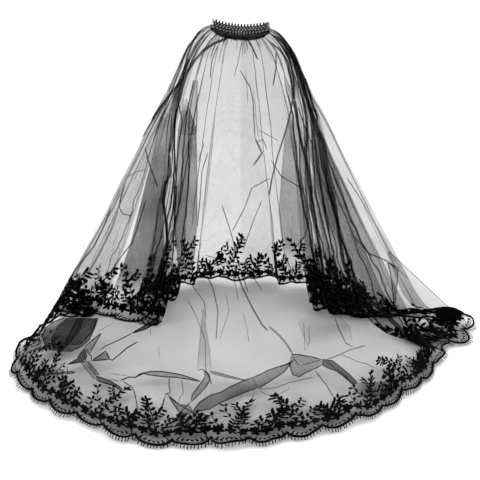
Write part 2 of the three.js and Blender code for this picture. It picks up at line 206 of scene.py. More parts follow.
def make_comb():
    deselect_all()
    bar = comb_bar()
    for corner in bar.data.vertices:
        corner.co.z += comb_arc(corner.co.x)
    teeth = []
    for number in range(TEETH):
        width = END_TOOTH_WIDTH if number in (0, TEETH - 1) else TOOTH_WIDTH
        teeth.append(comb_tooth(tooth_x(number), width))
    comb = joined("comb", [bar, *teeth])
    bevel = comb.modifiers.new("softened edges", "BEVEL")
    bevel.width = 0.0005
    bevel.segments = 2
    bevel.limit_method = "ANGLE"
    bevel.angle_limit = math.radians(50)
    bpy.ops.object.modifier_apply(modifier=bevel.name)
    mesh = bmesh.new()
    mesh.from_mesh(comb.data)
    bmesh.ops.recalc_face_normals(mesh, faces=mesh.faces)
    mesh.to_mesh(comb.data)
    mesh.free()
    bpy.ops.object.shade_smooth_by_angle(angle=math.radians(40))
    comb.data.materials.clear()
    comb.data.materials.append(plastic_material())
    return comb


comb = make_comb()
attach(comb, "root")
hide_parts("hair_comb")

# Winding. Black sewing thread goes over the bar and the edge of the net in one thick turn between each two
# teeth, and slants away from the middle on both halves. Past the bar it is woven to and fro between the
# teeth, then wound round each tooth, and it ends in a block of strands side by side at the right end.

THREAD_RADIUS = 0.001
TURN_CLEARANCE = 0.0011
TURN_SQUARENESS = 0.55
TURN_LEAN = 0.55
LEAN_REACH = 0.012
WEAVE_RADIUS = 0.0013
WEAVE_START = 0.0006
WEAVE_LIFT = 0.001
WEAVE_SLANT = 0.92
WOVEN_ROWS = 3
WOVEN_LENGTH = 0.0225
TIP_RADIUS = 0.0008
TIP_THREAD = 0.0006
TIP_TURNS = 8
TIP_START = WOVEN_LENGTH + 0.0024
TIP_PITCH = 0.0012
BLOCK_STRANDS = 5
BLOCK_RADIUS = 0.0008
BLOCK_PITCH = 0.0019
BLOCK_EDGE = COMB_WIDTH / 2 + 0.0005
BLOCK_BACK = -0.004
BLOCK_FRONT = 0.025
BLOCK_LIFT = 0.0014
THREAD_BLACK = (0.002, 0.002, 0.0022, 1)
SHEEN = 0.04


def fibre_material(name, colour, roughness, gloss, sheen_roughness):
    material, shader = new_material(name, colour, roughness, gloss)
    shader.inputs["Sheen Weight"].default_value = SHEEN
    shader.inputs["Sheen Roughness"].default_value = sheen_roughness
    return material, shader


def thread_material():
    material, shader = fibre_material("winding_thread", THREAD_BLACK, 0.6, 0.1, 0.4)
    place = shaded(material, "ShaderNodeTexCoord").outputs["Object"]
    twist = shaded(material, "ShaderNodeTexWave", Vector=place, Scale=700.0, Distortion=1.5, Detail=2.0)
    bumped(material, shader, twist.outputs["Fac"], 0.6, 0.0002)
    return material


def thread_turn(x, lean):
    """One oval turn of thread round the bar."""
    thin = 0.2
    bpy.ops.mesh.primitive_torus_add(
        major_radius=1, minor_radius=thin, major_segments=18, minor_segments=6, rotation=(0, math.pi / 2, 0)
    )
    turn = bpy.context.object
    apply_place(turn)
    deep = BAR_DEPTH / 2 + TURN_CLEARANCE
    high = BAR_THICKNESS / 2 + TURN_CLEARANCE
    swell = THREAD_RADIUS / thin
    for corner in turn.data.vertices:
        angle = math.atan2(corner.co.z, corner.co.y)
        around = Vector((0, math.cos(angle), math.sin(angle)))
        out = math.hypot(corner.co.y, corner.co.z) - 1
        squared = max(abs(around.y), abs(around.z)) ** -TURN_SQUARENESS
        y = around.y * (deep * squared + out * swell) - BAR_DEPTH / 2
        z = around.z * (high * squared + out * swell) + BAR_THICKNESS / 2
        sideways = x + corner.co.x * swell + lean * (y + BAR_DEPTH / 2)
        corner.co = (sideways, y, z + comb_arc(x))
    return turn


def strand(start, end, radius):
    """A straight length of thread."""
    way = Vector(end) - Vector(start)
    bpy.ops.mesh.primitive_cylinder_add(
        vertices=6,
        radius=radius,
        depth=way.length,
        location=(Vector(start) + Vector(end)) / 2,
        rotation=way.to_track_quat("Z", "Y").to_euler(),
    )
    thread = bpy.context.object
    apply_place(thread)
    return thread


def on_teeth(x, y, lift):
    """A place along the teeth, raised above their middle line."""
    return (x, y, comb_arc(x) + BAR_THICKNESS / 2 + y * math.tan(TEETH_TILT) + lift)


def tip_turns(x):
    """Turns of thread round a tooth, just past the weave."""
    turns = []
    for k in range(TIP_TURNS):
        bpy.ops.mesh.primitive_torus_add(
            major_radius=TIP_RADIUS,
            minor_radius=TIP_THREAD,
            major_segments=10,
            minor_segments=5,
            location=on_teeth(x, TIP_START + TIP_PITCH * k, 0),
            rotation=(math.pi / 2 + TEETH_TILT, 0, 0),
        )
        turns.append(bpy.context.object)
        apply_place(turns[-1])
    return turns


def make_winding():
    turns = []
    step = WOVEN_LENGTH / WOVEN_ROWS
    for gap in range(TEETH - 1):
        for row in range(WOVEN_ROWS):
            near, far = WEAVE_START + step * row, WEAVE_START + step * (row + WEAVE_SLANT)
            if row % 2:
                near, far = far, near
            left = on_teeth(tooth_x(gap), near, WEAVE_LIFT)
            right = on_teeth(tooth_x(gap + 1), far, WEAVE_LIFT)
            turns.append(strand(left, right, WEAVE_RADIUS))
    for gap in range(TEETH - 1):
        middle = tooth_x(gap + 0.5)
        turns.append(thread_turn(middle, TURN_LEAN * math.copysign(min(abs(middle) / LEAN_REACH, 1), middle)))
    for tooth in range(1, TEETH - 1):
        turns += tip_turns(tooth_x(tooth))
    for k in range(BLOCK_STRANDS):
        x = BLOCK_EDGE - BLOCK_PITCH * k
        corner = on_teeth(x, BLOCK_FRONT, BLOCK_LIFT)
        turns.append(strand(on_teeth(x, BLOCK_BACK, BLOCK_LIFT), corner, BLOCK_RADIUS))
        turns.append(strand(corner, on_teeth(x, BLOCK_FRONT + 0.0002, -BLOCK_LIFT), BLOCK_RADIUS))
    winding = joined("thread_turns", turns)
    bpy.ops.object.shade_smooth_by_angle(angle=math.radians(60))
    winding.data.materials.append(thread_material())
    return winding


winding = make_winding()
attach(winding, "root")
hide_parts("thread_winding")

# Heading. The net is gathered to a fraction of its width, turned over on itself and sewn under the bar, so it
# reads as a dark, ragged ruffle.

HEADING_DEPTH = 0.009
HEADING_DROP = 0.008
HEADING_HALF = COMB_WIDTH / 2 + 0.001
HEADING_MIDDLE = (-BAR_DEPTH / 2 - 0.001, -0.0027 - HEADING_DROP / 2)
RUFFLES = 46
RUFFLE_TURNS = 1.5
RUFFLE_HALF = 0.0062
RUFFLE_MIDDLE_Z = -0.0058
RUFFLE_WAVE = 0.0006
RUFFLE_SWAY = 0.0007
RUFFLE_END_RISE = 0.004
RAGGEDNESS = 0.0016
HEADING_COVER = 0.7
NET_LINES = 0.07
NET_BLACK = (0.0015, 0.0015, 0.0016, 1)


def mesh_object(name, points, faces, material):
    mesh = bpy.data.meshes.new(name)
    mesh.from_pydata([tuple(p) for p in points], [], faces)
    mesh.polygons.foreach_set("use_smooth", [True] * len(mesh.polygons))
    mesh.materials.append(material)
    thing = bpy.data.objects.new(name, mesh)
    scene.collection.objects.link(thing)
    return thing


def set_cover(thing, cover):
    """Stores at each point how much of the light the net stops there, from 0 to 1."""
    attribute = thing.data.attributes.new("cover", "FLOAT", "POINT")
    attribute.data.foreach_set("value", np.asarray(cover, np.float32))


def grid_faces(columns, rows, wraps=True):
    """Quads over a grid of points that is stored column by column."""
    faces = []
    for i in range(columns if wraps else columns - 1):
        here, there = i * rows, (i + 1) % columns * rows
        for j in range(rows - 1):
            faces.append((here + j, here + j + 1, there + j + 1, there + j))
    return faces


def worked_out(material, operation, one, other):
    """A node that adds or multiplies a socket and another socket or a number."""
    node = shaded(material, "ShaderNodeMath")
    node.operation = operation
    material.node_tree.links.new(one, node.inputs[0])
    if isinstance(other, float):
        node.inputs[1].default_value = other
    else:
        material.node_tree.links.new(other, node.inputs[1])
    return node


def net_material(name, mesh_width, thread_width):
    """Fine net. Its threads are opaque and its holes clear, and where it lies in many layers it closes up."""
    material, shader = fibre_material(name, NET_BLACK, 0.9, 0.0, 0.5)
    place = shaded(material, "ShaderNodeTexCoord").outputs["Object"]
    cells = shaded(material, "ShaderNodeTexVoronoi", Vector=place, Scale=1 / mesh_width, Randomness=0.35)
    cells.feature = "DISTANCE_TO_EDGE"
    threads = shaded(
        material,
        "ShaderNodeMapRange",
        Value=cells.outputs["Distance"],
        From_Min=thread_width * 0.6,
        From_Max=thread_width * 1.4,
        To_Min=1.0,
        To_Max=0.0,
    )
    cover = shaded(material, "ShaderNodeAttribute")
    cover.attribute_name = "cover"
    uneven = shaded(material, "ShaderNodeTexNoise", Vector=place, Scale=14.0, Detail=3.0)
    drift = shaded(material, "ShaderNodeMapRange", Value=uneven.outputs["Fac"], To_Min=0.7, To_Max=1.3)
    film = worked_out(material, "MULTIPLY", cover.outputs["Fac"], drift.outputs["Result"])
    lines = worked_out(material, "MULTIPLY", threads.outputs["Result"], NET_LINES)
    both = worked_out(material, "ADD", film.outputs["Value"], lines.outputs["Value"])
    both.use_clamp = True
    material.node_tree.links.new(both.outputs["Value"], shader.inputs["Alpha"])
    return material


tulle_material = net_material("tulle", 0.0021, 0.09)


def make_heading():
    """A gathered strip that is rolled round the seam, with a ragged lower edge."""
    columns = RUFFLES * 10
    rows = 26
    draw = np.random.default_rng(7)
    ragged = np.convolve(draw.normal(0, 1, columns + 1), np.ones(5) / 5, mode="same")
    points = []
    for i in range(columns + 1):
        share = i / columns
        x = HEADING_HALF * (2 * share - 1)
        end = max(1 - abs(2 * share - 1) ** 9, 0.35) ** 0.5
        gather = math.sin(2 * math.pi * RUFFLES * share + 1.3 * math.sin(9 * share))
        for j in range(rows + 1):
            turn = j / rows
            angle = 0.7 + 2 * math.pi * RUFFLE_TURNS * turn
            size = (0.45 + 0.55 * turn) * end
            across = size * (HEADING_DEPTH / 2 + RUFFLE_WAVE * gather)
            torn = RAGGEDNESS * ragged[i] if math.sin(angle) < 0 else 0
            down = size * (RUFFLE_HALF + RUFFLE_WAVE * gather) + torn
            sway = RUFFLE_SWAY * math.sin(math.pi * RUFFLES * share + 4 * turn)
            y = HEADING_MIDDLE[0] + across * math.cos(angle)
            raised = comb_arc(x) + RUFFLE_END_RISE * abs(2 * share - 1) ** 4
            points.append((x + sway, y, RUFFLE_MIDDLE_Z + raised + down * math.sin(angle)))
    faces = grid_faces(columns + 1, rows + 1, wraps=False)
    heading = mesh_object("heading_ruffle", points, faces, tulle_material)
    set_cover(heading, np.full(len(points), HEADING_COVER))
    return heading


heading = make_heading()
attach(heading, "root")
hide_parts("gathered_heading")

# Drape. One oval of net hangs all round from the heading. It falls clear of the face, is drawn into deep
# folds at the sides and back, and lies on the surface in front. Its pleats are the net folded on itself.

FRONT_REACH = 0.375
SIDE_REACH = 0.352
BACK_REACH = 0.19
CORE_RADIUS = 0.098
RIDGE_HEIGHT = 0.03
CLOTH_HEIGHT = 0.0024
LACE_DEPTH = 0.126
LACE_OVERHANG = 0.014
SCALLOPS = 58
COLUMNS = 12 * SCALLOPS
HANGING_ROWS = 84
LACE_ROWS = 21
END_RISE = 0.01
SHEER = 0.33
INNER_COVER = 0.14
LEFT_WING_COVER = 0.19
RIGHT_WING_COVER = 0.27
GATHER_COVER = 0.1
LAID_COVER = 0.02
SURFACE_Z = -STAND_HEIGHT
START_OUT = 0.0018
START_BACK = 0.0009
FACE_SHARE = 0.2
FACE_BEARING = 42
SIDE_BEARING = 72
LYING_HEIGHT = 0.05
FLUTES = ((31, 0.0026), (53, 0.0022), (89, 0.0015), (137, 0.0009))
WAVES = 9
WAVE_HEIGHT = 0.0024
LAID_HEIGHT = 0.03
LAYER_STEP = 0.0015
PLEAT_LIFT = 0.0012
PLEAT_STEP = 3
EDGE_WIDTH = 1.3
SOFT_EDGE = 0.3
SOFT_ROWS = 4
FOLD_STEP = 4
FOLD_PARTS = 4
CREASE_SIDES = 0.8
CREASE_ENDS = 0.4
LARGEST_SIDE = 0.012
LARGEST_STEP = 0.035
PLEAT_SIDES = 0.75
PLEAT_HEIGHT = 0.0009
PLEAT_WANDER = 0.22

# Levels down the veil: how far down each lies, how far out the innermost folds reach, how far out the front,
# the sides and the back reach, how deep the folds are and how far the cloth has come to lie on the surface.
# Columns: drop, core, front, side, back, folded, laid
LEVELS = (
    (0.014, 0.5, 0.072, 0.162, 0.09, 0.02, 0),
    (0.035, 0.6, 0.118, 0.193, 0.16, 0.06, 0),
    (0.075, 0.7, 0.17, 0.236, 0.28, 0.15, 0),
    (0.13, 0.78, 0.212, 0.272, 0.39, 0.3, 0),
    (0.2, 0.84, 0.24, 0.318, 0.47, 0.5, 0),
    (0.29, 0.88, 0.252, 0.39, 0.53, 0.72, 0),
    (0.39, 0.91, 0.256, 0.462, 0.57, 0.9, 0),
    (0.5, 0.94, 0.259, 0.545, 0.6, 1, 0),
    (0.61, 0.97, 0.269, 0.625, 0.64, 1, 0),
    (0.72, 1.0, 0.293, 0.712, 0.69, 1, 0),
    (0.82, 1.04, 0.333, 0.79, 0.75, 1, 0),
    (0.9, 1.08, 0.387, 0.852, 0.81, 1, 0.02),
    (0.96, 1.12, 0.459, 0.898, 0.86, 1, 0.1),
    (0.99, 1.16, 0.533, 0.922, 0.89, 1, 0.25),
    (1.0, 1.2, 0.619, 0.942, 0.92, 1, 0.45),
    (1.0, 1.25, 0.747, 0.962, 0.947, 1, 0.65),
    (1.0, 1.3, 0.875, 0.982, 0.971, 1, 0.85),
    (1.0, 1.35, 1.0, 1.0, 1.0, 1, 1),
)
# Folds by their bearing from straight ahead: how far out of the core the net hangs, how far out its hem lies,
# how high it is ridged where it reaches the surface, and how many degrees it swings aside on its way down.
# Columns: bearing, out, hem, ridge, swing
FOLDS = (
    (-178, 0.6, 0.97, 0.2, 0),
    (-168, 1.0, 1.0, 0.1, 0),
    (-158, 0.5, 0.97, 0.2, 0),
    (-149, 0.8, 1.0, 0.1, 0),
    (-141, 0.12, 1.0, 0.1, 12),
    (-134, 0.58, 1.0, 0.1, 0),
    (-126, 0.06, 1.0, 0.0, 38),
    (-116, 0.95, 1.0, 0.1, 0),
    (-106, 1.02, 0.93, 0.1, 0),
    (-97, 0.62, 1.06, 0.1, 0),
    (-90, 0.88, 0.95, 0.2, 0),
    (-82, 1.0, 0.98, 0.1, 0),
    (-73, 1.02, 1.04, 0.15, 0),
    (-63, 0.97, 1.12, 0.5, 0),
    (-53, 1.0, 1.09, 0.1, 0),
    (-44, 0.97, 1.1, 0.6, 0),
    (-35, 1.0, 1.055, 0.05, 0),
    (-26, 0.97, 1.09, 0.45, 0),
    (-17, 1.02, 1.04, 0.05, 0),
    (-9, 0.97, 1.04, 0.7, 0),
    (0, 1.02, 1.0, 0.1, 0),
    (9, 0.98, 1.0, 0.5, 0),
    (18, 1.0, 0.98, 0.05, 0),
    (27, 0.96, 1.0, 0.6, 0),
    (36, 1.0, 0.97, 0.1, 0),
    (46, 0.95, 0.98, 0.55, 0),
    (56, 1.0, 0.96, 0.1, 0),
    (66, 0.96, 0.98, 0.2, 0),
    (74, 0.5, 1.4, 0.1, 0),
    (81, 0.92, 1.14, 0.2, 0),
    (89, 0.95, 1.14, 0.9, 0),
    (96, 0.28, 1.25, 0.0, 0),
    (103, 0.72, 1.2, 0.0, 0),
    (110, 0.16, 1.08, 0.0, -9),
    (117, 0.58, 1.0, 0.1, -2),
    (124, 0.07, 1.0, 0.1, -16),
    (132, 0.62, 1.0, 0.1, 0),
    (141, 0.14, 0.9, 0.2, -18),
    (151, 0.85, 1.0, 0.1, 0),
    (161, 0.5, 0.97, 0.2, 0),
    (171, 0.96, 1.0, 0.1, 0),
)


def fold_values(bearings):
    """What FOLDS says of each bearing, eased between its rows."""
    rows = np.array((*FOLDS[-1:], *FOLDS, FOLDS[0]), float)
    rows[0, 0] -= 360
    rows[-1, 0] += 360
    after = np.clip(np.searchsorted(rows[:, 0], bearings, side="right"), 1, len(rows) - 1)
    share = (bearings - rows[after - 1, 0]) / (rows[after, 0] - rows[after - 1, 0])
    eased = (share * share * (3 - 2 * share))[:, None]
    return (rows[after - 1, 1:] * (1 - eased) + rows[after, 1:] * eased).T


def smoothed(points, steps=6):
    """A curve that passes through every point of each line, with its bends eased as in a hung cord."""
    gaps = np.sqrt(np.linalg.norm(np.diff(points, axis=1), axis=2))[..., None].clip(1e-5)
    first = 2 * points[:, :1] - points[:, 1:2]
    last = 2 * points[:, -1:] - points[:, -2:-1]
    padded = np.concatenate([first, points, last], axis=1)
    wide = np.concatenate([gaps[:, :1], gaps, gaps[:, -1:]], axis=1)
    curve = []
    for k in range(points.shape[1] - 1):
        p0, p1, p2, p3 = (padded[:, k + n] for n in range(4))
        d0, d1, d2 = (wide[:, k + n] for n in range(3))
        leave = ((p1 - p0) / d0 - (p2 - p0) / (d0 + d1) + (p2 - p1) / d1) * d1
        arrive = ((p2 - p1) / d1 - (p3 - p1) / (d1 + d2) + (p3 - p2) / d2) * d1
        for step in range(steps):
            t = step / steps
            curve.append(
                (2 * t**3 - 3 * t**2 + 1) * p1
                + (t**3 - 2 * t**2 + t) * leave
                + (-2 * t**3 + 3 * t**2) * p2
                + (t**3 - t**2) * arrive
            )
    curve.append(points[:, -1])
    return np.stack(curve, axis=1)


def fall_lines(bearings):
    """The line that the net follows at each bearing, from the heading to the scalloped edge."""
    out, hem, ridge, swing = fold_values(bearings)
    across, ahead = np.sin(np.radians(bearings)), np.cos(np.radians(bearings))

    def rounded(value):
        return np.sign(value) * np.abs(value) ** (2 / 3)

    start_x = (HEADING_HALF + START_OUT) * rounded(across)
    start_y = HEADING_MIDDLE[0] - (HEADING_DEPTH / 2 * math.cos(math.pi / 6) + START_BACK) * rounded(ahead)
    start_z = HEADING_MIDDLE[1] + comb_arc(start_x)
    raised = END_RISE * np.abs(across) ** 5
    lowest = SURFACE_Z + CLOTH_HEIGHT
    tucked = start_x * (1 - 0.1 * raised / END_RISE)
    points = [np.stack([tucked, start_y, start_z + raised], axis=1)]
    for drop, core, front, side, back, folded, laid in LEVELS:
        angle = np.radians(bearings + swing * folded)
        across, ahead = np.sin(angle), np.cos(angle)
        inner = core * CORE_RADIUS
        share = 1 - folded * (1 - out)
        reach = 1 + laid * (hem - 1)
        faced = np.where(ahead > 0, front * FRONT_REACH, back * BACK_REACH)
        wide = (inner + (side * SIDE_REACH - inner) * share) * reach
        deep = (inner + (faced - inner) * share) * reach
        lift = ridge * RIDGE_HEIGHT * math.sin(math.pi * laid)
        height = start_z + (lowest - start_z) * drop + lift + raised * max(1 - drop / 0.1, 0)
        points.append(np.stack([wide * across, -deep * ahead, height], axis=1))
    lines = smoothed(np.stack(points, axis=1))
    lines[..., 2] = lines[..., 2].clip(lowest)
    return lines


def even_bearings(count):
    """Bearings at which the hem is divided evenly, so that every scallop is as wide as the next."""
    trials = np.linspace(-180, 180, 1441)
    hem = fall_lines(trials)[:, -1]
    along = np.concatenate([[0], np.cumsum(np.linalg.norm(np.diff(hem, axis=0), axis=1))])
    return np.interp(np.arange(count) * along[-1] / count, along, trials), along[-1]


def side_share(bearings):
    """From nearly nothing over the face, where the net hangs smooth, to 1 at the sides and back."""
    share = (np.abs(bearings) - FACE_BEARING) / (SIDE_BEARING - FACE_BEARING)
    return FACE_SHARE + (1 - FACE_SHARE) * np.clip(share, 0, 1)


def surface_normals(grid):
    """The direction away from the cloth at each point of a grid that runs round the veil and down it."""
    along = np.roll(grid, -1, axis=0) - np.roll(grid, 1, axis=0)
    down = np.gradient(grid, axis=1)
    normal = np.cross(down, along)
    return normal / np.linalg.norm(normal, axis=2, keepdims=True).clip(1e-9)


def rippled(grid, fall, bearings):
    """The fine flutes of the hanging net, and the crumpled waves of the net that lies on the surface."""
    draw = np.random.default_rng(11)
    around = np.linspace(0, 2 * math.pi, len(grid), endpoint=False)[:, None]
    down = fall[None, :]
    lying = np.clip(1 - (grid[..., 2] - SURFACE_Z) / LYING_HEIGHT, 0, 1)
    flutes = np.zeros(grid.shape[:2])
    for count, height in FLUTES:
        phase = draw.uniform(0, 6.3)
        sway = draw.uniform(0.5, 2.5)
        flutes += height * np.sin(count * around + phase + sway * np.sin(3 * down + phase))
    flutes *= np.clip(down / 0.3, 0, 1) * (1 - 0.7 * lying) * side_share(bearings)[:, None]
    waves = np.zeros(grid.shape[:2])
    for _ in range(WAVES):
        way = draw.uniform(0, math.pi)
        length = draw.uniform(0.05, 0.16)
        phase = draw.uniform(0, 6.3)
        place = (grid[..., 0] * math.cos(way) + grid[..., 1] * math.sin(way)) / length * 2 * math.pi
        waves += (1 - np.abs(np.sin(place / 2 + phase + 0.6 * np.sin(place * 0.31)))) ** 3
    waves *= WAVE_HEIGHT * lying
    return grid + surface_normals(grid) * (flutes + waves)[..., None]


def cloth_grid():
    """Points of the cloth by column round the veil and row from the heading down, with each row's place."""
    bearings, hem_length = even_bearings(COLUMNS)
    lines = fall_lines(bearings)
    hanging = np.linspace(0, 1, HANGING_ROWS, endpoint=False) ** 0.9
    lace = np.linspace(LACE_DEPTH, 0, LACE_ROWS + 1)
    grid = np.empty((COLUMNS, HANGING_ROWS + LACE_ROWS + 1, 3))
    for i, line in enumerate(lines):
        steps = np.linalg.norm(np.diff(line, axis=0), axis=1)
        along = np.concatenate([[0], np.cumsum(steps)])
        wanted = np.concatenate([hanging * (along[-1] - LACE_DEPTH), along[-1] - lace])
        for axis in range(3):
            grid[i, :, axis] = np.interp(wanted, along, line[:, axis])
    fall = np.concatenate([hanging, np.ones(LACE_ROWS + 1)])
    grid = rippled(grid, fall, bearings)
    grid[..., 2] = grid[..., 2].clip(SURFACE_Z + CLOTH_HEIGHT - 0.001)
    return grid, fall, bearings, hem_length


cloth, cloth_fall, column_bearings, hem_length = cloth_grid()
cloth_normals = surface_normals(cloth)


def cloth_at(column, row):
    """A point of the cloth and its normal between the grid's columns and rows."""
    i, j = int(math.floor(column)), min(int(math.floor(row)), cloth.shape[1] - 2)
    u, v = column - i, row - j
    before, after = [(i, 1 - u), (i + 1, u)], [(j, 1 - v), (j + 1, v)]
    corners = [(a, b, share * part) for b, part in after for a, share in before]
    return [sum(field[a % COLUMNS, b] * share for a, b, share in corners) for field in (cloth, cloth_normals)]


TULLE_ROWS = HANGING_ROWS + LACE_ROWS + 1 - round(LACE_OVERHANG / LACE_DEPTH * LACE_ROWS)
drape_points = cloth[:, :TULLE_ROWS].reshape(-1, 3)
drape_faces = grid_faces(COLUMNS, TULLE_ROWS)
seen_cloth = BVHTree.FromPolygons([Vector(p) for p in drape_points], drape_faces)


def seen_at(x, y, layer=1):
    """Where the line of sight through a point of the picture meets the cloth, or a later layer of it."""
    sight = Vector((x - IMAGE_SIZE / 2, IMAGE_SIZE / 2 - y, -FOCAL_PIXELS))
    sight.rotate(camera.rotation_euler)
    sight.normalize()
    start = CAMERA_PLACE.copy()
    found = None
    for _ in range(layer):
        place, _, _, _ = seen_cloth.ray_cast(start, sight)
        if place is None:
            break
        found = np.array(place - sight * PLEAT_LIFT)
        start = place + sight * LAYER_STEP
    return found


# Places where the net is folded over on itself, so that two or three layers lie together, and one faint patch
# of painted shadow: how closely the net is packed between the edges and along them, and the two edges in the
# picture.
FOLDED_AND_SHADOW = (
    (0.39, 0.85,
     ((135.5, 377.4), (140.6, 373.6), (150.8, 371.4), (161, 371.4), (173.8, 373.3), (184, 375.5),
      (200.6, 381.3)),
     ((135.5, 377.6), (143.2, 373.6), (151.5, 375.2), (164.2, 376.8), (177, 377.4), (186.5, 379),
      (200.6, 381.5))),
    (0.52, 0.85, ((169.3, 397.2), (178.9, 404.2)), ((169.3, 397.2), (179.5, 413.1))),
    (0.45, 0.6,
     ((178.9, 404.5), (189.1, 405.5), (192.9, 411.2)),
     ((179.5, 413.1), (189.7, 414.4), (192.9, 411.2))),
    (0.45, 0.8,
     ((191, 401), (192.3, 394.6), (196.1, 389.5), (201.8, 381.9), (205, 376.8), (204.5, 371.5)),
     ((191.6, 401.7), (199.3, 394), (205.7, 387), (210, 380.6), (209.5, 375), (205, 370))),
    (0.33, 0.3,
     ((203, 308), (200, 338), (198.4, 355), (197.4, 370.4)),
     ((203.4, 308), (206, 330), (209.6, 350), (210.8, 370))),
    (0.39, 0.5,
     ((209.6, 370.6), (222.3, 373.8), (235.7, 377.6), (247.2, 380.5)),
     ((210.8, 373.2), (225.5, 377), (238.3, 379.4), (247.2, 380.9))),
    (0.55, 0.9,
     ((192.5, 411.5), (200, 401.9), (211.5, 394.8), (220.4, 392.3), (231.9, 385.9), (243.4, 380.8),
      (251.7, 377.6), (254.8, 382.1)),
     ((192.5, 412), (200, 410.8), (209.6, 408.9), (220.4, 402.8), (233.2, 397.1), (244.6, 392.3),
      (256.1, 388.2), (256.8, 387.2))),
    (0.55, 0.9,
     ((252, 378), (261.2, 373.8), (268.9, 370), (278.4, 366.8), (289.3, 363.6), (292, 361)),
     ((256.8, 387.4), (260, 387.2), (267.6, 382.7), (276.5, 377), (284.2, 371.9), (292, 362))),
    (0.45, 0.85,
     ((291.5, 354.2), (299.1, 354.6), (313.8, 357.4), (321, 359.3)),
     ((288.8, 363.2), (292.8, 374.6), (299.1, 376.9), (305.5, 372.7), (315.7, 368.3), (322.1, 364.8))),
    (0.78, 0.9,
     ((322.1, 359.3), (332.3, 360.6), (340.6, 367), (348.9, 374), (357.8, 382.9)),
     ((321.5, 364.8), (328.5, 368.3), (336.1, 370.8), (343.1, 375.9), (353.3, 384.8))),
    (0.78, 0.85,
     ((84.1, 348.5), (78.7, 355.8), (77.6, 358.9), (67.7, 364.2)),
     ((84.1, 348.5), (86.8, 355.8), (85.2, 361.2), (67.7, 364.6))),
    (0.39, 0.8, ((84.5, 346.6), (101.3, 332.8)), ((84.5, 347.2), (89.8, 352.7), (101.3, 333.2))),
    (0.52, 0.85, ((92.1, 360.4), (105.5, 351.2), (109.7, 358)), ((92.1, 360.8), (109, 359.4))),
    (0.33, 0.6, ((80.8, 362.5), (94.8, 379.7)), ((84, 361.5), (97.2, 377))),
    (0.45, 0.6, ((86, 361), (97, 375.5)), ((88.2, 360.5), (99.5, 375.3))),
    (0.65, 0.9,
     ((96, 376), (110, 380.6), (119.6, 387), (122.8, 389.5)),
     ((96, 380), (104, 382.8), (113.8, 385.7), (121, 390.5))),
    (0.78, 0.9, ((158, 316.5), (144.2, 326), (132.7, 332.6)), ((158, 321.5), (146, 329), (132.7, 333.2))),
    (0.4, 0.8, ((387.5, 262), (391, 275), (394, 305)), ((388, 262), (398, 268), (397, 285), (394.5, 305))),
    (0.3, 0.6, ((193.5, 80), (189, 102), (180, 135)), ((197, 80), (197, 118), (196, 135))),
    (0.72, 0.3,
     ((170, 103), (162, 115), (150, 166), (142, 199), (137, 219), (130, 246), (122, 268), (113, 292)),
     ((172, 104), (172, 129), (169, 154), (169, 180), (163, 210), (164, 240), (164, 268), (164, 296))),
    (0.58, 0.3,
     ((184, 98), (178, 130), (176, 165), (175, 215), (177, 250), (179, 282)),
     ((186, 98), (196, 129), (197, 170), (197, 218), (195, 250), (191, 282))),
    (0.3, 0.3,
     ((226, 37), (207, 21), (199, 30), (192, 42), (187, 56), (183, 78)),
     ((226, 39), (212, 43), (204, 50), (196, 60), (189, 70), (184, 80))),
    (0.45, 0.3,
     ((291, 113), (285, 136), (281, 184), (279, 213), (282, 240), (286, 262)),
     ((296, 107), (302, 145), (307, 165), (310, 200), (309, 225), (314, 262))),
    (0.45, 0.2,
     ((305, 130), (310, 155), (316, 185), (325, 215), (331, 240)),
     ((315, 130), (322, 155), (328, 180), (334, 210), (339, 240))),
    (0.4, 0.3,
     ((278, 48), (286, 60), (291, 80), (293, 100)),
     ((285, 40), (297, 60), (304, 80), (309, 100))),
    (0.45, 0.3, ((286, 262), (290, 275)), ((314, 262), (319, 275))),
    (0.5, 0.3,
     ((350, 383), (368, 384), (388, 381), (402, 372)),
     ((354, 391), (372, 397), (392, 394), (407, 379))),
    # Painted shadow, not a fold: a soft grey band of closer net on the surface below the right bundle, where
    # the shade of the hanging folds falls.
    (0.28, 0.15, ((298, 318), (301, 330), (308, 346)), ((340, 317), (350, 327), (352, 340))),
    (0.7, 0.85,
     ((64, 317.5), (53, 322), (45, 328), (42, 336), (47, 350)),
     ((98, 318), (95, 327), (89, 340), (81, 347), (69, 352))),
    (0.55, 0.85,
     ((68, 318), (58, 326), (52, 338), (53, 350)),
     ((84, 318), (80, 329), (70, 342), (62, 351))),
    (0.5, 0.85, ((77, 318), (72, 330), (64, 345)), ((97, 319), (92, 332), (80, 345))),
)

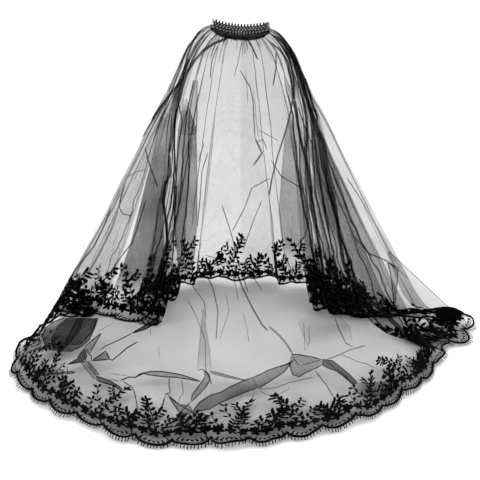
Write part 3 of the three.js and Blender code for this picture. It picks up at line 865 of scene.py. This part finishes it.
# Creases: the width in the picture, how closely the net is packed and the path.
CREASES = (
    (3.0, 0.85,
     ((228, 38), (215, 43), (204, 50), (195, 60), (187, 72), (182, 80), (172, 92), (160, 108), (148, 126),
      (142, 137))),
    (2.0, 0.9, ((142, 137), (136, 146), (126, 164), (121, 173))),
    (2.0, 0.85, ((206, 23), (199, 31), (193, 42), (188, 54), (185, 66), (182, 80))),
    (1.2, 0.8, ((200, 26), (192, 36), (188, 46), (183, 57), (175, 76), (168, 92))),
    (4.0, 0.85, ((183, 78), (176, 98), (173, 115), (172, 135), (169, 154))),
    (3.0, 0.92, ((169, 154), (170, 174), (165, 184), (163, 199), (166, 223), (168, 250))),
    (1.6, 0.8, ((178, 100), (182, 120), (178, 150), (176, 180), (174, 207), (176, 250))),
    (2.2, 0.9, ((275, 36), (284, 44), (289, 56), (292, 70), (294, 84), (294, 100))),
    (2.0, 0.85, ((270, 42), (280, 50), (288, 62), (291, 80), (293, 98))),
    (3.0, 0.85, ((294, 100), (297, 118), (300, 136), (306, 160), (311, 184))),
    (3.4, 0.92, ((311, 184), (311, 207), (317, 232), (321, 257), (324, 280))),
    (3.0, 0.85, ((288, 48), (296, 58), (303, 74), (309, 92), (313, 107), (323, 142))),
    (4.6, 0.85, ((313, 107), (323, 142), (327, 174), (335, 203))),
    (4.0, 0.92,
     ((335, 203), (339, 234), (343, 260), (350, 280), (363, 292), (375, 305), (394, 322), (407, 336))),
    (1.4, 0.8, ((281, 38), (290, 45), (299, 60), (306, 80), (315, 112), (327, 150))),
    (1.2, 0.8, ((298, 107), (306, 130), (315, 150), (318, 172), (330, 198), (337, 218))),
    (1.4, 0.8, ((322, 200), (326, 222), (333, 250), (338, 275))),
    (1.0, 0.7, ((285, 253), (291, 270), (296, 284))),
    (1.2, 0.8, ((309, 222), (305, 236), (295, 248))),
    (1.5, 0.9, ((120.2, 380.6), (129, 377), (135.5, 377.4), (141, 373.4))),
    (1.2, 0.85,
     ((122.8, 381.3), (131.7, 387), (134.2, 391.5), (136.1, 399.7), (137.1, 407.4), (138, 413.8),
      (140.6, 420.2))),
    (1.2, 0.85,
     ((169.3, 376.8), (169, 385.7), (170.3, 390.8), (169.3, 393.4), (166.1, 393.4), (164.5, 397.2))),
    (1.8, 0.9, ((164.5, 397.2), (163, 404.2), (154.6, 418.9), (150.8, 423.3))),
    (1.3, 0.9, ((166.5, 394), (178.9, 404.2), (192.3, 412.5), (198, 417.6))),
    (1.1, 0.9, ((179.5, 413.1), (191, 401.7))),
    (0.8, 0.75, ((181.4, 378.7), (182.7, 385.7), (183.3, 393.4), (179.5, 397.8), (178.2, 404.2))),
    (1.1, 0.85, ((197.4, 370.4), (202.5, 369.1), (207.7, 374.4), (209.6, 378.3), (212.1, 384.6))),
    (0.8, 0.75,
     ((256.8, 388), (263.8, 389.1), (275.3, 387.8), (289.3, 382.7), (300, 380.2), (314.4, 377.2))),
    (0.7, 0.6, ((259.3, 390.4), (265.7, 394.2), (274.6, 396.8), (282.9, 392.3), (290.6, 387.5))),
    (0.9, 0.8, ((254.2, 392.9), (252.3, 399.3), (251, 401.9))),
    (1.1, 0.9, ((254.8, 382.1), (256.8, 387.2))),
    (2.2, 0.6, ((268.5, 326), (280, 336), (287, 344.7), (292.8, 354.2))),
    (1.0, 0.85, ((292.5, 355), (294.7, 360), (299, 365))),
    (0.9, 0.8, ((300.4, 365.7), (315.7, 361.3), (322, 359.3))),
    (1.2, 0.9, ((280, 367), (288.3, 363.2), (294.7, 360))),
    (1.1, 0.9, ((327.2, 361.9), (343.8, 374.6), (353.3, 384.2))),
    (1.1, 0.85,
     ((327.2, 359.3), (334.8, 356.8), (340.6, 354.2), (348.9, 350.4), (356.5, 347.9), (365.5, 345.6))),
    (0.8, 0.75, ((340.6, 354.6), (348.9, 357.4), (356.5, 361.3), (368, 364.4), (375.7, 368.3))),
    (1.0, 0.85, ((335, 318), (339.3, 330), (345.7, 342.8), (353.3, 347.2))),
    (0.7, 0.6, ((303.6, 322), (304.9, 345.3), (304.5, 350))),
    (0.7, 0.6, ((308.7, 326), (309.7, 340.8), (307.4, 347.2), (304.2, 351))),
    (1.1, 0.85, ((315, 370.2), (322, 379.7), (325.9, 384.2), (330.4, 391.9), (334.8, 398.9))),
    (1.1, 0.85, ((132.7, 332.8), (119.7, 339.7), (105.9, 345.9), (99, 350.4))),
    (1.2, 0.9, ((84.1, 348.5), (91.4, 356.6), (91.8, 361.2))),
    (0.9, 0.8, ((67.3, 365.4), (67.3, 374), (75, 373))),
    (1.3, 0.9,
     ((105.5, 351.2), (109.7, 358.9), (112, 360.4), (119.7, 354.3), (126.6, 348.1), (138, 341.6))),
    (0.6, 0.6, ((98.3, 331.3), (112.8, 322.9))),
    (0.7, 0.65, ((110, 373.6), (127.9, 375.8))),
    (0.9, 0.8, ((110, 379), (119.6, 381.3))),
    (0.6, 0.5, ((150.3, 326.7), (150.8, 336))),
    (0.6, 0.5, ((158.7, 345), (159.5, 358.9))),
    (1.7, 0.9, ((247, 39), (252, 47), (258, 60))),
    (1.1, 0.75, ((218, 46), (212, 60), (210, 79))),
    (0.9, 0.65, ((242, 41), (238, 62), (234, 77))),
    (1.1, 0.8, ((240, 70), (250, 87), (253, 100), (254, 122), (255, 138))),
    (1.8, 0.85, ((255, 138), (262, 153), (258, 159), (253, 166))),
    (1.5, 0.85, ((276, 52), (276, 68), (273, 86))),
    (1.6, 0.85, ((293, 96), (291, 110), (286, 130), (278, 155), (272, 178), (269, 196))),
    (1.1, 0.8, ((271, 160), (281, 176), (301, 188), (318, 194))),
    (0.9, 0.7, ((259, 130), (268, 135), (279, 141))),
    (1.2, 0.8, ((256, 143), (263, 139), (267, 150))),
    (0.9, 0.7, ((204, 143), (198, 162))),
    (1.1, 0.8, ((208, 152), (202, 171), (200, 200), (197, 228))),
    (1.1, 0.75, ((270, 178), (252, 188), (245, 207), (232, 232))),
    (1.0, 0.75, ((262, 200), (253, 222), (243, 250))),
    (1.1, 0.75, ((222, 205), (232, 236), (238, 262), (248, 292))),
    (1.0, 0.7, ((205, 255), (228, 262), (243, 263), (262, 290))),
    (0.9, 0.7, ((188, 300), (197, 318), (205, 340), (206, 372))),
    (1.8, 0.75, ((234, 265), (242.5, 288), (253, 309), (261.5, 324), (268, 331))),
    (1.3, 0.7, ((202.5, 267), (213, 288), (218, 311), (216, 340))),
    (1.0, 0.7, ((190, 282), (204.5, 302.5), (206, 320))),
    (0.9, 0.65, ((231, 267), (236, 288), (238.5, 301))),
    (0.8, 0.6, ((226, 294), (229, 311), (219.5, 340))),
    (0.7, 0.5, ((242.5, 311), (247, 328), (249, 343))),
    (1.0, 0.8, ((347, 178), (359, 196), (375, 225), (389, 252), (396, 268))),
    (0.8, 0.7, ((396, 268), (420, 288), (466, 322))),
    (1.4, 0.8, ((351, 235), (362, 245), (368, 253), (387, 261), (396, 269))),
    (1.4, 0.85, ((145, 147), (148, 160), (152, 172), (158, 188))),
    (1.2, 0.8, ((125, 185), (121, 197), (119, 207), (123, 214), (133, 216))),
    (0.9, 0.7, ((126, 178), (136, 172), (147, 169))),
    (3.0, 0.8, ((37, 375), (50, 374), (62, 373), (75, 372))),
    (1.6, 0.85, ((111, 209), (103, 228), (94, 246), (88, 254), (75, 270), (68, 282))),
)
# Creases of the second layer, seen through the first.
INNER_CREASES = (
    (2.4, 0.6, ((122, 196), (112, 228), (105, 242), (98, 256), (90, 270), (73, 289))),
    (1.4, 0.8, ((146, 200), (135, 235), (132, 243), (120, 258), (110, 273))),
)

# Bundles: where the net is drawn together from the comb to the hem. Each has the bearing of its middle, its
# spread in degrees, how many pleats it holds, where they end on the way down and how wide they are.
BUNDLES = (
    (-126, 3, 5, 1.0, 0.0032),
    (-141, 4, 3, 1.0, 0.003),
    (-97, 2, 2, 0.9, 0.0022),
    (-158, 4, 2, 0.9, 0.002),
    (74, 2.5, 5, 1.0, 0.003),
    (96, 1.6, 3, 1.0, 0.003),
    (110, 1.6, 3, 1.0, 0.003),
    (124, 2, 2, 1.0, 0.003),
    (141, 3, 2, 1.0, 0.003),
    (161, 4, 2, 0.9, 0.002),
)
BUNDLE_COVER = 0.85
SIDE_GATHERS = 60
GATHER_WIDTH = 0.0011
GATHER_CLOSENESS = 0.8
LOOSE_CREASES = 30
LOOSE_WIDTH = 0.0014
LOOSE_CLOSENESS = 0.6


def stepped(path, step=PLEAT_STEP):
    """Points along a path of straight lines, no further apart than step."""
    points = []
    for (x0, y0), (x1, y1) in zip(path, path[1:]):
        count = max(int(math.hypot(x1 - x0, y1 - y0) / step), 1)
        points += [(x0 + (x1 - x0) * k / count, y0 + (y1 - y0) * k / count) for k in range(count)]
    return [*points, path[-1]]


def shared(path, count):
    """As many points as asked for, evenly along a path of straight lines."""
    path = np.array(path, float)
    along = np.concatenate([[0], np.cumsum(np.linalg.norm(np.diff(path, axis=0), axis=1))])
    wanted = np.linspace(0, along[-1], count)
    return np.stack([np.interp(wanted, along, path[:, 0]), np.interp(wanted, along, path[:, 1])], axis=1)


class Strips:
    """Gathers pleats, folded places and a patch of painted shadow, which become one mesh with the drape."""

    def __init__(self):
        self.points, self.faces, self.cover = [], [], []

    def add(self, rows, covers, shares=None):
        """Adds lines of points as a strip of net, packed as in covers along each and thinned by its share."""
        first = len(self.points)
        for k, row in enumerate(rows):
            self.points += list(row)
            self.cover += [cover * (1 if shares is None else shares[k]) for cover in covers]
        faces = grid_faces(len(rows), len(covers), wraps=False)
        self.faces += [tuple(first + n for n in face) for face in faces]


def seen_crease(strips, width, cover, path, layer=1):
    """A narrow crease along its path in the picture, laid on the cloth and pointed at its ends."""
    points = stepped(path)
    covers = [cover * CREASE_SIDES, cover, cover * CREASE_SIDES]
    rows = []
    for k, (x, y) in enumerate(points):
        (x0, y0), (x1, y1) = points[max(k - 1, 0)], points[min(k + 1, len(points) - 1)]
        length = math.hypot(x1 - x0, y1 - y0) or 1
        half = width / 2 * (CREASE_ENDS if k in (0, len(points) - 1) else 1)
        dx, dy = (y1 - y0) / length * half, -(x1 - x0) / length * half
        middle = seen_at(x, y, layer)
        if middle is None:
            continue
        sides = [seen_at(x - dx, y - dy, layer), seen_at(x + dx, y + dy, layer)]
        near = [s if s is not None and np.linalg.norm(s - middle) < LARGEST_SIDE else middle for s in sides]
        if rows and np.linalg.norm(middle - rows[-1][1]) > LARGEST_STEP:
            if len(rows) > 1:
                strips.add(rows, covers)
            rows = []
        rows.append([near[0], middle, near[1]])
    if len(rows) > 1:
        strips.add(rows, covers)


def seen_fold_or_shadow(strips, cover, edge_cover, one, other):
    """A folded place, or the one patch of painted shadow, between two edges in the picture, with a crease
    along each.
    """
    count = max(len(stepped(one, FOLD_STEP)), len(stepped(other, FOLD_STEP)), 3)
    left, right = shared(one, count), shared(other, count)
    rows = []
    for k in range(count):
        across = [seen_at(*(left[k] + (right[k] - left[k]) * n / FOLD_PARTS)) for n in range(FOLD_PARTS + 1)]
        if any(place is None for place in across):
            return
        rows.append(across)
    fades = [min(1, k / SOFT_ROWS, (count - 1 - k) / SOFT_ROWS) for k in range(count)]
    strips.add(rows, [cover] * (FOLD_PARTS + 1), fades if edge_cover <= SOFT_EDGE else None)
    for edge in (one, other):
        seen_crease(strips, EDGE_WIDTH, edge_cover, edge)


# Corner: where the net is stretched straight from the right side fold to the corner of the hem, it stands
# clear of the folds between them. Its foot follows these places in the picture.
CORNER_FOOT = ((384, 246), (390, 262), (397, 280), (401, 291), (408, 302), (424, 312), (446, 316), (462, 319))
CORNER_ROWS = 16
CORNER_COVER = 0.42
CORNER_EDGE = 0.0016
CORNER_EDGE_COVERS = (0.5, 0.7, 0.5)


def stretched_corner(strips):
    """The net between a straight edge and its foot, with a crease along the edge."""
    feet = [seen_at(x, y) for x, y in shared(CORNER_FOOT, CORNER_ROWS)]
    feet = [foot for foot in feet if foot is not None]
    rows, edge = [], []
    for k, foot in enumerate(feet):
        top = feet[0] + (feet[-1] - feet[0]) * k / (len(feet) - 1)
        reach = np.linalg.norm(foot - top)
        if reach < CORNER_EDGE:
            continue
        rows.append([top + (foot - top) * n / FOLD_PARTS for n in range(FOLD_PARTS + 1)])
        edge.append([top + (foot - top) / reach * CORNER_EDGE * n / 2 for n in range(3)])
    strips.add(rows, [CORNER_COVER] * (FOLD_PARTS + 1))
    strips.add(edge, CORNER_EDGE_COVERS)


def drawn_pleat(strips, bearing, start, end, width, cover, draw):
    """A pleat down the cloth from one share of its height to another, with a slight wander."""
    column = float(np.interp(bearing, column_bearings, np.arange(COLUMNS)))
    first, last = start * (TULLE_ROWS - 1), end * (TULLE_ROWS - 1)
    steps = max(int((last - first) / 1.5), 3)
    rows = []
    wander = np.cumsum(draw.normal(0, PLEAT_WANDER, steps + 1))
    for k in range(steps + 1):
        row = first + (last - first) * k / steps
        place, normal = cloth_at((column + wander[k]) % COLUMNS, row)
        beside, _ = cloth_at((column + wander[k] + 1) % COLUMNS, row)
        across = (beside - place) / max(np.linalg.norm(beside - place), 1e-6)
        half = width / 2 * min(1, 0.25 + 3 * k / steps, 0.25 + 4 * (1 - k / steps))
        lift = normal * PLEAT_HEIGHT
        rows.append([place - across * half + lift * 0.3, place + lift, place + across * half + lift * 0.3])
    strips.add(rows, [cover * PLEAT_SIDES, cover, cover * PLEAT_SIDES])


def make_pleats():
    """The folds and creases of the picture with one patch of painted shadow, then the bundles, the gathers at
    the comb and loose pleats.
    """
    strips = Strips()
    # One of these patches is painted shadow on the surface below the right bundle, not a fold.
    for fold in FOLDED_AND_SHADOW:
        seen_fold_or_shadow(strips, *fold)
    for crease in CREASES:
        seen_crease(strips, *crease)
    for crease in INNER_CREASES:
        seen_crease(strips, *crease, layer=2)
    stretched_corner(strips)
    draw = np.random.default_rng(23)
    for bearing, spread, count, end, width in BUNDLES:
        for place in np.linspace(-spread, spread, count):
            start = draw.uniform(0.0, 0.04)
            size = width * draw.uniform(0.7, 1.1)
            foot = end * draw.uniform(0.92, 0.99)
            drawn_pleat(strips, bearing + place, start, foot, size, BUNDLE_COVER, draw)
    for n in range(SIDE_GATHERS):
        bearing = (-1 if n % 2 else 1) * draw.uniform(62, 178)
        drawn_pleat(strips, bearing, 0, draw.uniform(0.04, 0.17), GATHER_WIDTH, GATHER_CLOSENESS, draw)
    for _ in range(LOOSE_CREASES):
        bearing = (-1 if draw.uniform() < 0.5 else 1) * draw.uniform(60, 178)
        start = draw.uniform(0.15, 0.7)
        end = start + draw.uniform(0.06, 0.25)
        drawn_pleat(strips, bearing, start, end, LOOSE_WIDTH, LOOSE_CLOSENESS, draw)
    return strips


def drape_cover():
    """How closely the net lies: sheer over the face, and closer where it is gathered or hangs in folds."""
    out = fold_values(column_bearings)[0][:, None]
    fall = cloth_fall[None, :TULLE_ROWS]
    inner = np.clip((0.75 - out) / 0.6, 0, 1) * np.clip((fall - 0.12) / 0.2, 0, 1)
    beside_face = side_share(column_bearings)[:, None] - FACE_SHARE
    gathered = np.clip(1 - fall / 0.07, 0, 1) * beside_face
    laid = np.clip(1 - (cloth[:, :TULLE_ROWS, 2] - SURFACE_Z) / LAID_HEIGHT, 0, 1)
    wing = beside_face / (1 - FACE_SHARE) * (1 - laid)
    wing_cover = np.where(column_bearings < 0, LEFT_WING_COVER, RIGHT_WING_COVER)[:, None]
    base = SHEER - (SHEER - wing_cover) * wing
    return base - (base - INNER_COVER).clip(0) * inner + GATHER_COVER * gathered + LAID_COVER * laid


def make_drape():
    pleats = make_pleats()
    count = len(drape_points)
    points = [*drape_points, *pleats.points]
    faces = [*drape_faces, *(tuple(count + n for n in face) for face in pleats.faces)]
    drape = mesh_object("tulle", points, faces, tulle_material)
    set_cover(drape, [*drape_cover().reshape(-1), *pleats.cover])
    return drape


drape = make_drape()
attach(drape, "root")
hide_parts("tulle_drape")

# Lace. The edging is embroidered on a closer net, cut out round its sprigs and sewn on the hem all round. A
# thick cord draws the scallops, and a fringe of short lashes stands past it.

SCALLOP_WIDTH = hem_length / SCALLOPS
SCALLOP_DEPTH = 0.013
MARGIN = 0.0095
LASH_LENGTH = 0.0085
LASH_WIDTH = 0.0015
LASH_PITCH = 0.0046
CORD_RADIUS = 0.0018
TALL_SPRIG = 0.112
LOW_SPRIG = 0.074
INNER_CORD = 0.0042
INNER_CORD_RADIUS = 0.0005
STEM_WIDTH = 0.0018
SHOOT_WIDTH = 0.0013
LEAF_PITCH = 0.0105
LEAF_LENGTH = 0.0138
RIM_LIFT = 0.0005
STEM_LIFT = 0.0009
LEAF_HEIGHT = 0.0013
TOP_LEAF = (0.012, 0.0055)
SHOOT_LEAF = (0.0115, 0.0052)
SPRIG_FOOT = 0.012
SIDE_FLOWER = 0.0095
SIDE_FLOWER_PLACE = 0.0165
MIDDLE_FLOWER = 0.0115
FOOT_LEAF = (0.0125, 0.0055)
EDGE_LEAF = (0.0062, 0.003)
EDGE_LEAVES = 15
CORD_STEPS = 26
CORD_FLATNESS = 0.75
LOWEST_CORD = 0.0002
LOWEST_LACE = 0.0004
GROUND_LIFT = 0.0003
GROUND_LOWEST = 0.05
GROUND_COVER = 0.1
GROUND_TOP_COVER = 0.02
LACE_BLACK = (0.0008, 0.0008, 0.0009, 1)

# Side shoots: the share of the stem below each, its side and its reach.
SHOOTS = (
    (0.0, -1, 0.04), (0.0, 1, 0.04), (0.2, 1, 0.036), (0.35, -1, 0.038), (0.55, 1, 0.026), (0.7, -1, 0.02),
)

# Bearings between which the lace lies double, folded on itself at the foot of the right side folds.
DOUBLED = ((58, 92),)


def on_hem(along, inward, lift):
    """Points on the cloth by the way along the hem and inward from its edge, raised above it."""
    along, inward = np.asarray(along, float), np.asarray(inward, float)
    column = (along / hem_length * COLUMNS) % COLUMNS
    row = HANGING_ROWS + (LACE_DEPTH - inward.clip(0, LACE_DEPTH + 0.02)) / LACE_DEPTH * LACE_ROWS
    row = row.clip(0, cloth.shape[1] - 1.001)
    i, j = np.floor(column).astype(int), np.floor(row).astype(int)
    u, v = (column - i)[..., None], (row - j)[..., None]
    result = []
    for field in (cloth, cloth_normals):
        here, there = field[i % COLUMNS], field[(i + 1) % COLUMNS]
        take = np.arange(len(i))
        top = here[take, j] * (1 - u) + there[take, j] * u
        bottom = here[take, j + 1] * (1 - u) + there[take, j + 1] * u
        result.append(top * (1 - v) + bottom * v)
    places = result[0] + result[1] * np.asarray(lift, float).reshape(-1, 1)
    places[:, 2] = places[:, 2].clip(SURFACE_Z + LOWEST_LACE)
    return places


def edge_inset(along):
    """How far the scalloped outer edge lies inward of its furthest reach."""
    return SCALLOP_DEPTH * (1 - np.abs(np.sin(np.pi * np.asarray(along) / SCALLOP_WIDTH)) ** 0.6)


def lace_material():
    material, shader = fibre_material("lace_thread", LACE_BLACK, 0.9, 0.0, 0.45)
    place = shaded(material, "ShaderNodeTexCoord").outputs["Object"]
    stitches = shaded(material, "ShaderNodeTexNoise", Vector=place, Scale=1500.0, Detail=3.0)
    bumped(material, shader, stitches.outputs["Fac"], 0.7, 0.0004)
    return material


lace_thread = lace_material()


class Motif:
    """Flat shapes in hem coordinates, each a raised fan of a rim round its middle."""

    def __init__(self):
        self.along, self.inward, self.lift, self.faces = [], [], [], []

    def point(self, along, inward, lift):
        """Adds a point and returns its number."""
        self.along.append(along)
        self.inward.append(inward)
        self.lift.append(lift)
        return len(self.along) - 1

    def fan(self, rim, middle, height):
        """Triangles from a raised middle to its rim."""
        corners = [self.point(*corner, RIM_LIFT) for corner in rim]
        top = self.point(*middle, height)
        self.faces += [(here, there, top) for here, there in zip(corners, [*corners[1:], corners[0]])]

    def leaf(self, along, inward, turn, length, width):
        """A pointed leaf that grows from its foot in the direction of turn, measured from straight inward."""
        shape = ((0, 0), (0.3, 0.42), (0.65, 0.45), (1, 0), (0.65, -0.45), (0.3, -0.42))
        s, c = math.sin(turn), math.cos(turn)
        rim = [
            (along + length * p * s + width * q * c, inward + length * p * c - width * q * s)
            for p, q in shape
        ]
        self.fan(rim, (along + length * 0.5 * s, inward + length * 0.5 * c), LEAF_HEIGHT)

    def stem(self, path, width):
        """A narrow strip along a path."""
        for (a0, i0), (a1, i1) in zip(path, path[1:]):
            length = math.hypot(a1 - a0, i1 - i0) or 1e-6
            n, m = (i1 - i0) / length * width / 2, -(a1 - a0) / length * width / 2
            corners = ((a0 - n, i0 - m), (a0 + n, i0 + m), (a1 + n, i1 + m), (a1 - n, i1 - m))
            self.faces.append(tuple(self.point(*corner, STEM_LIFT) for corner in corners))

    def flower(self, along, inward, size, turn):
        """Five petals round one place."""
        for n in range(5):
            self.leaf(along, inward, turn + n * 2 * math.pi / 5, size, size * 0.62)


def sprig(motif, along, foot, height, bend, draw):
    """A curved stem with leaves on both sides and shoots that branch off it by turns."""
    steps = max(round((height - foot) / LEAF_PITCH), 2)
    path = []
    for k in range(steps + 1):
        share = k / steps
        path.append((along + bend * share**1.6 * height * 0.35, foot + share * (height - foot)))
    motif.stem(path, STEM_WIDTH)
    for k in range(1, steps + 1):
        a, i = path[k]
        size = LEAF_LENGTH - 0.0015 * k / steps
        for side in (-1, 1):
            turn = side * (0.8 + draw.uniform(-0.2, 0.2)) + bend * 0.5
            back = 0.003 if side < 0 else 0
            motif.leaf(a, i - back, turn, size, size * 0.46)
    motif.leaf(*path[-1], bend * 0.6, *TOP_LEAF)
    for share, side, reach in SHOOTS:
        a, i = path[round(share * steps)]
        reach *= height / TALL_SPRIG * draw.uniform(0.85, 1.15)
        spread = draw.uniform(1.0, 1.35)
        shoot = []
        for n in range(4):
            turn = side * (spread - 0.6 * n / 3)
            shoot.append((a + reach * n / 3 * math.sin(turn), i + reach * n / 3 * math.cos(turn)))
        motif.stem(shoot, SHOOT_WIDTH)
        for n in range(1, 4):
            for lean in (-0.85, 0.85):
                motif.leaf(*shoot[n], side * 0.8 + lean + draw.uniform(-0.2, 0.2), *SHOOT_LEAF)


def make_sprigs():
    """A tall or a low sprig in each scallop by turns, with flowers at its foot and leaves at the edge."""
    motif = Motif()
    draw = np.random.default_rng(31)
    foot = SCALLOP_DEPTH + MARGIN + SPRIG_FOOT
    for n in range(SCALLOPS):
        middle = (n + 0.5) * SCALLOP_WIDTH
        height = (LOW_SPRIG if n % 2 else TALL_SPRIG) * draw.uniform(0.92, 1.08)
        bend = (-1 if n % 4 < 2 else 1) * draw.uniform(0.6, 1.3)
        sprig(motif, middle, foot, height, bend, draw)
        bearing = float(np.interp((n + 0.5) / SCALLOPS * COLUMNS, np.arange(COLUMNS), column_bearings))
        if any(low < bearing < high for low, high in DOUBLED):
            for side in (-1, 1):
                beside = middle + side * 0.3 * SCALLOP_WIDTH
                sprig(motif, beside, foot, height * draw.uniform(0.6, 0.9), -side, draw)
        for side in (-1, 1):
            motif.flower(middle + side * SIDE_FLOWER_PLACE, foot + 0.002, SIDE_FLOWER, draw.uniform(0, 1))
            base = middle + side * 0.36 * SCALLOP_WIDTH
            for turn in (-0.9, -0.3, 0.3, 0.9):
                motif.leaf(base, foot + 0.002, turn + side * 0.2, *FOOT_LEAF)
        motif.flower(middle, foot + 0.001, MIDDLE_FLOWER, draw.uniform(0, 1))
        for k in range(EDGE_LEAVES):
            aside = k / (EDGE_LEAVES - 1) - 0.5
            along = middle + aside * SCALLOP_WIDTH * 0.84
            inset = MARGIN + float(edge_inset(along)) + 0.006
            motif.leaf(along, inset, (0.9 if k % 2 else -0.9) + 0.5 * aside, *EDGE_LEAF)
    points = on_hem(motif.along, motif.inward, motif.lift)
    return mesh_object("lace_sprigs", points, motif.faces, lace_thread)


def make_cord():
    """The thick outline of the scallops, and a fine second line inside it."""
    points, faces = [], []
    steps = SCALLOPS * CORD_STEPS
    along = np.arange(steps) * hem_length / steps
    for inset, radius, count in ((MARGIN, CORD_RADIUS, 6), (MARGIN + INNER_CORD, INNER_CORD_RADIUS, 4)):
        inward = inset + edge_inset(along)
        middle = on_hem(along, inward, np.full(steps, radius * 0.8 + 0.0003))
        way = np.roll(middle, -1, axis=0) - np.roll(middle, 1, axis=0)
        way /= np.linalg.norm(way, axis=1, keepdims=True).clip(1e-9)
        up = on_hem(along, inward, np.full(steps, 0.01)) - on_hem(along, inward, np.zeros(steps))
        up -= way * (up * way).sum(axis=1, keepdims=True)
        up /= np.linalg.norm(up, axis=1, keepdims=True).clip(1e-9)
        beside = np.cross(way, up)
        first = len(points)
        for k in range(steps):
            for n in range(count):
                angle = 2 * math.pi * n / count
                out = beside[k] * math.cos(angle) + up[k] * CORD_FLATNESS * math.sin(angle)
                point = middle[k] + radius * out
                points.append((point[0], point[1], max(point[2], SURFACE_Z + LOWEST_CORD)))
        for k in range(steps):
            here, there = first + k * count, first + (k + 1) % steps * count
            for n in range(count):
                beyond = (n + 1) % count
                faces.append((here + n, here + beyond, there + beyond, there + n))
    return mesh_object("scallop_cord", points, faces, lace_thread)


def make_lashes():
    """The fringe of short threads, each a strip that bends a little to one side."""
    motif = Motif()
    draw = np.random.default_rng(41)
    for n in range(int(hem_length / LASH_PITCH)):
        along = n * LASH_PITCH
        foot = MARGIN + float(edge_inset(along))
        length = LASH_LENGTH * draw.uniform(0.75, 1.1)
        tip = along + draw.normal(0, 0.0007)
        path = [(along, foot), ((along + tip) / 2, foot - length * 0.5), (tip, foot - length)]
        motif.stem(path, LASH_WIDTH)
    points = on_hem(motif.along, motif.inward, motif.lift)
    return mesh_object("lace_lashes", points, motif.faces, lace_thread)


def ground_height(along):
    """How far inward the lace's own net reaches, which is trimmed in low waves above the sprigs."""
    place = np.asarray(along) / SCALLOP_WIDTH
    number = np.floor(place).astype(int)
    across = np.abs(place - number - 0.5) * 2
    height = np.where(number % 2 == 0, TALL_SPRIG, LOW_SPRIG)
    return GROUND_LOWEST + (height * 1.03 - GROUND_LOWEST) * np.sqrt(np.clip(1 - across**1.6, 0, 1))


def make_ground():
    """The net that the sprigs are embroidered on, which grows sheerer away from the edge."""
    steps, rows = SCALLOPS * 24, 12
    along = np.arange(steps) * hem_length / steps
    low, high = edge_inset(along), ground_height(along)
    points = np.empty((steps, rows, 3))
    for j in range(rows):
        inward = low + (high - low) * j / (rows - 1)
        points[:, j] = on_hem(along, inward, np.full(steps, GROUND_LIFT))
    ground = mesh_object("lace_ground", points.reshape(-1, 3), grid_faces(steps, rows), ground_material)
    set_cover(ground, np.tile(np.linspace(GROUND_COVER, GROUND_TOP_COVER, rows), steps))
    return ground


ground_material = net_material("lace_net", 0.003, 0.1)
sprigs = make_sprigs()
cord = make_cord()
lashes = make_lashes()
ground = make_ground()
for piece in (sprigs, cord, lashes, ground):
    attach(piece, "root")
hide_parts("lace_edging")

# Floor and studio light. A pale, plain surface under soft light from above and both sides.

FLOOR_GAP = 0.0006
SURFACE_WHITE = (0.93, 0.93, 0.935, 1)
STUDIO_LIGHT = 1.1
# Columns: name, place, size, power
LAMPS = (
    ("key", (-1.2, -1.4, 1.9), 1.6, 30),
    ("fill", (1.6, -0.8, 1.4), 1.6, 17),
    ("back", (0.3, 1.8, 1.6), 1.4, 14),
)

bpy.ops.mesh.primitive_plane_add(size=60, location=(0, 0, SURFACE_Z - FLOOR_GAP))
floor = bpy.context.object
floor.name = "floor"
floor.data.materials.append(new_material("floor", SURFACE_WHITE, 0.9, 0.2)[0])

world = bpy.data.worlds.new("studio")
world.use_nodes = True
backdrop = world.node_tree.nodes["Background"]
backdrop.inputs["Color"].default_value = (1, 1, 1, 1)
backdrop.inputs["Strength"].default_value = STUDIO_LIGHT
scene.world = world

for name, place, size, power in LAMPS:
    light = bpy.data.lights.new(name, "AREA")
    light.energy = power
    light.size = size
    lamp = bpy.data.objects.new(name, light)
    lamp.location = place
    lamp.rotation_euler = (-Vector(place)).to_track_quat("-Z", "Y").to_euler()
    scene.collection.objects.link(lamp)
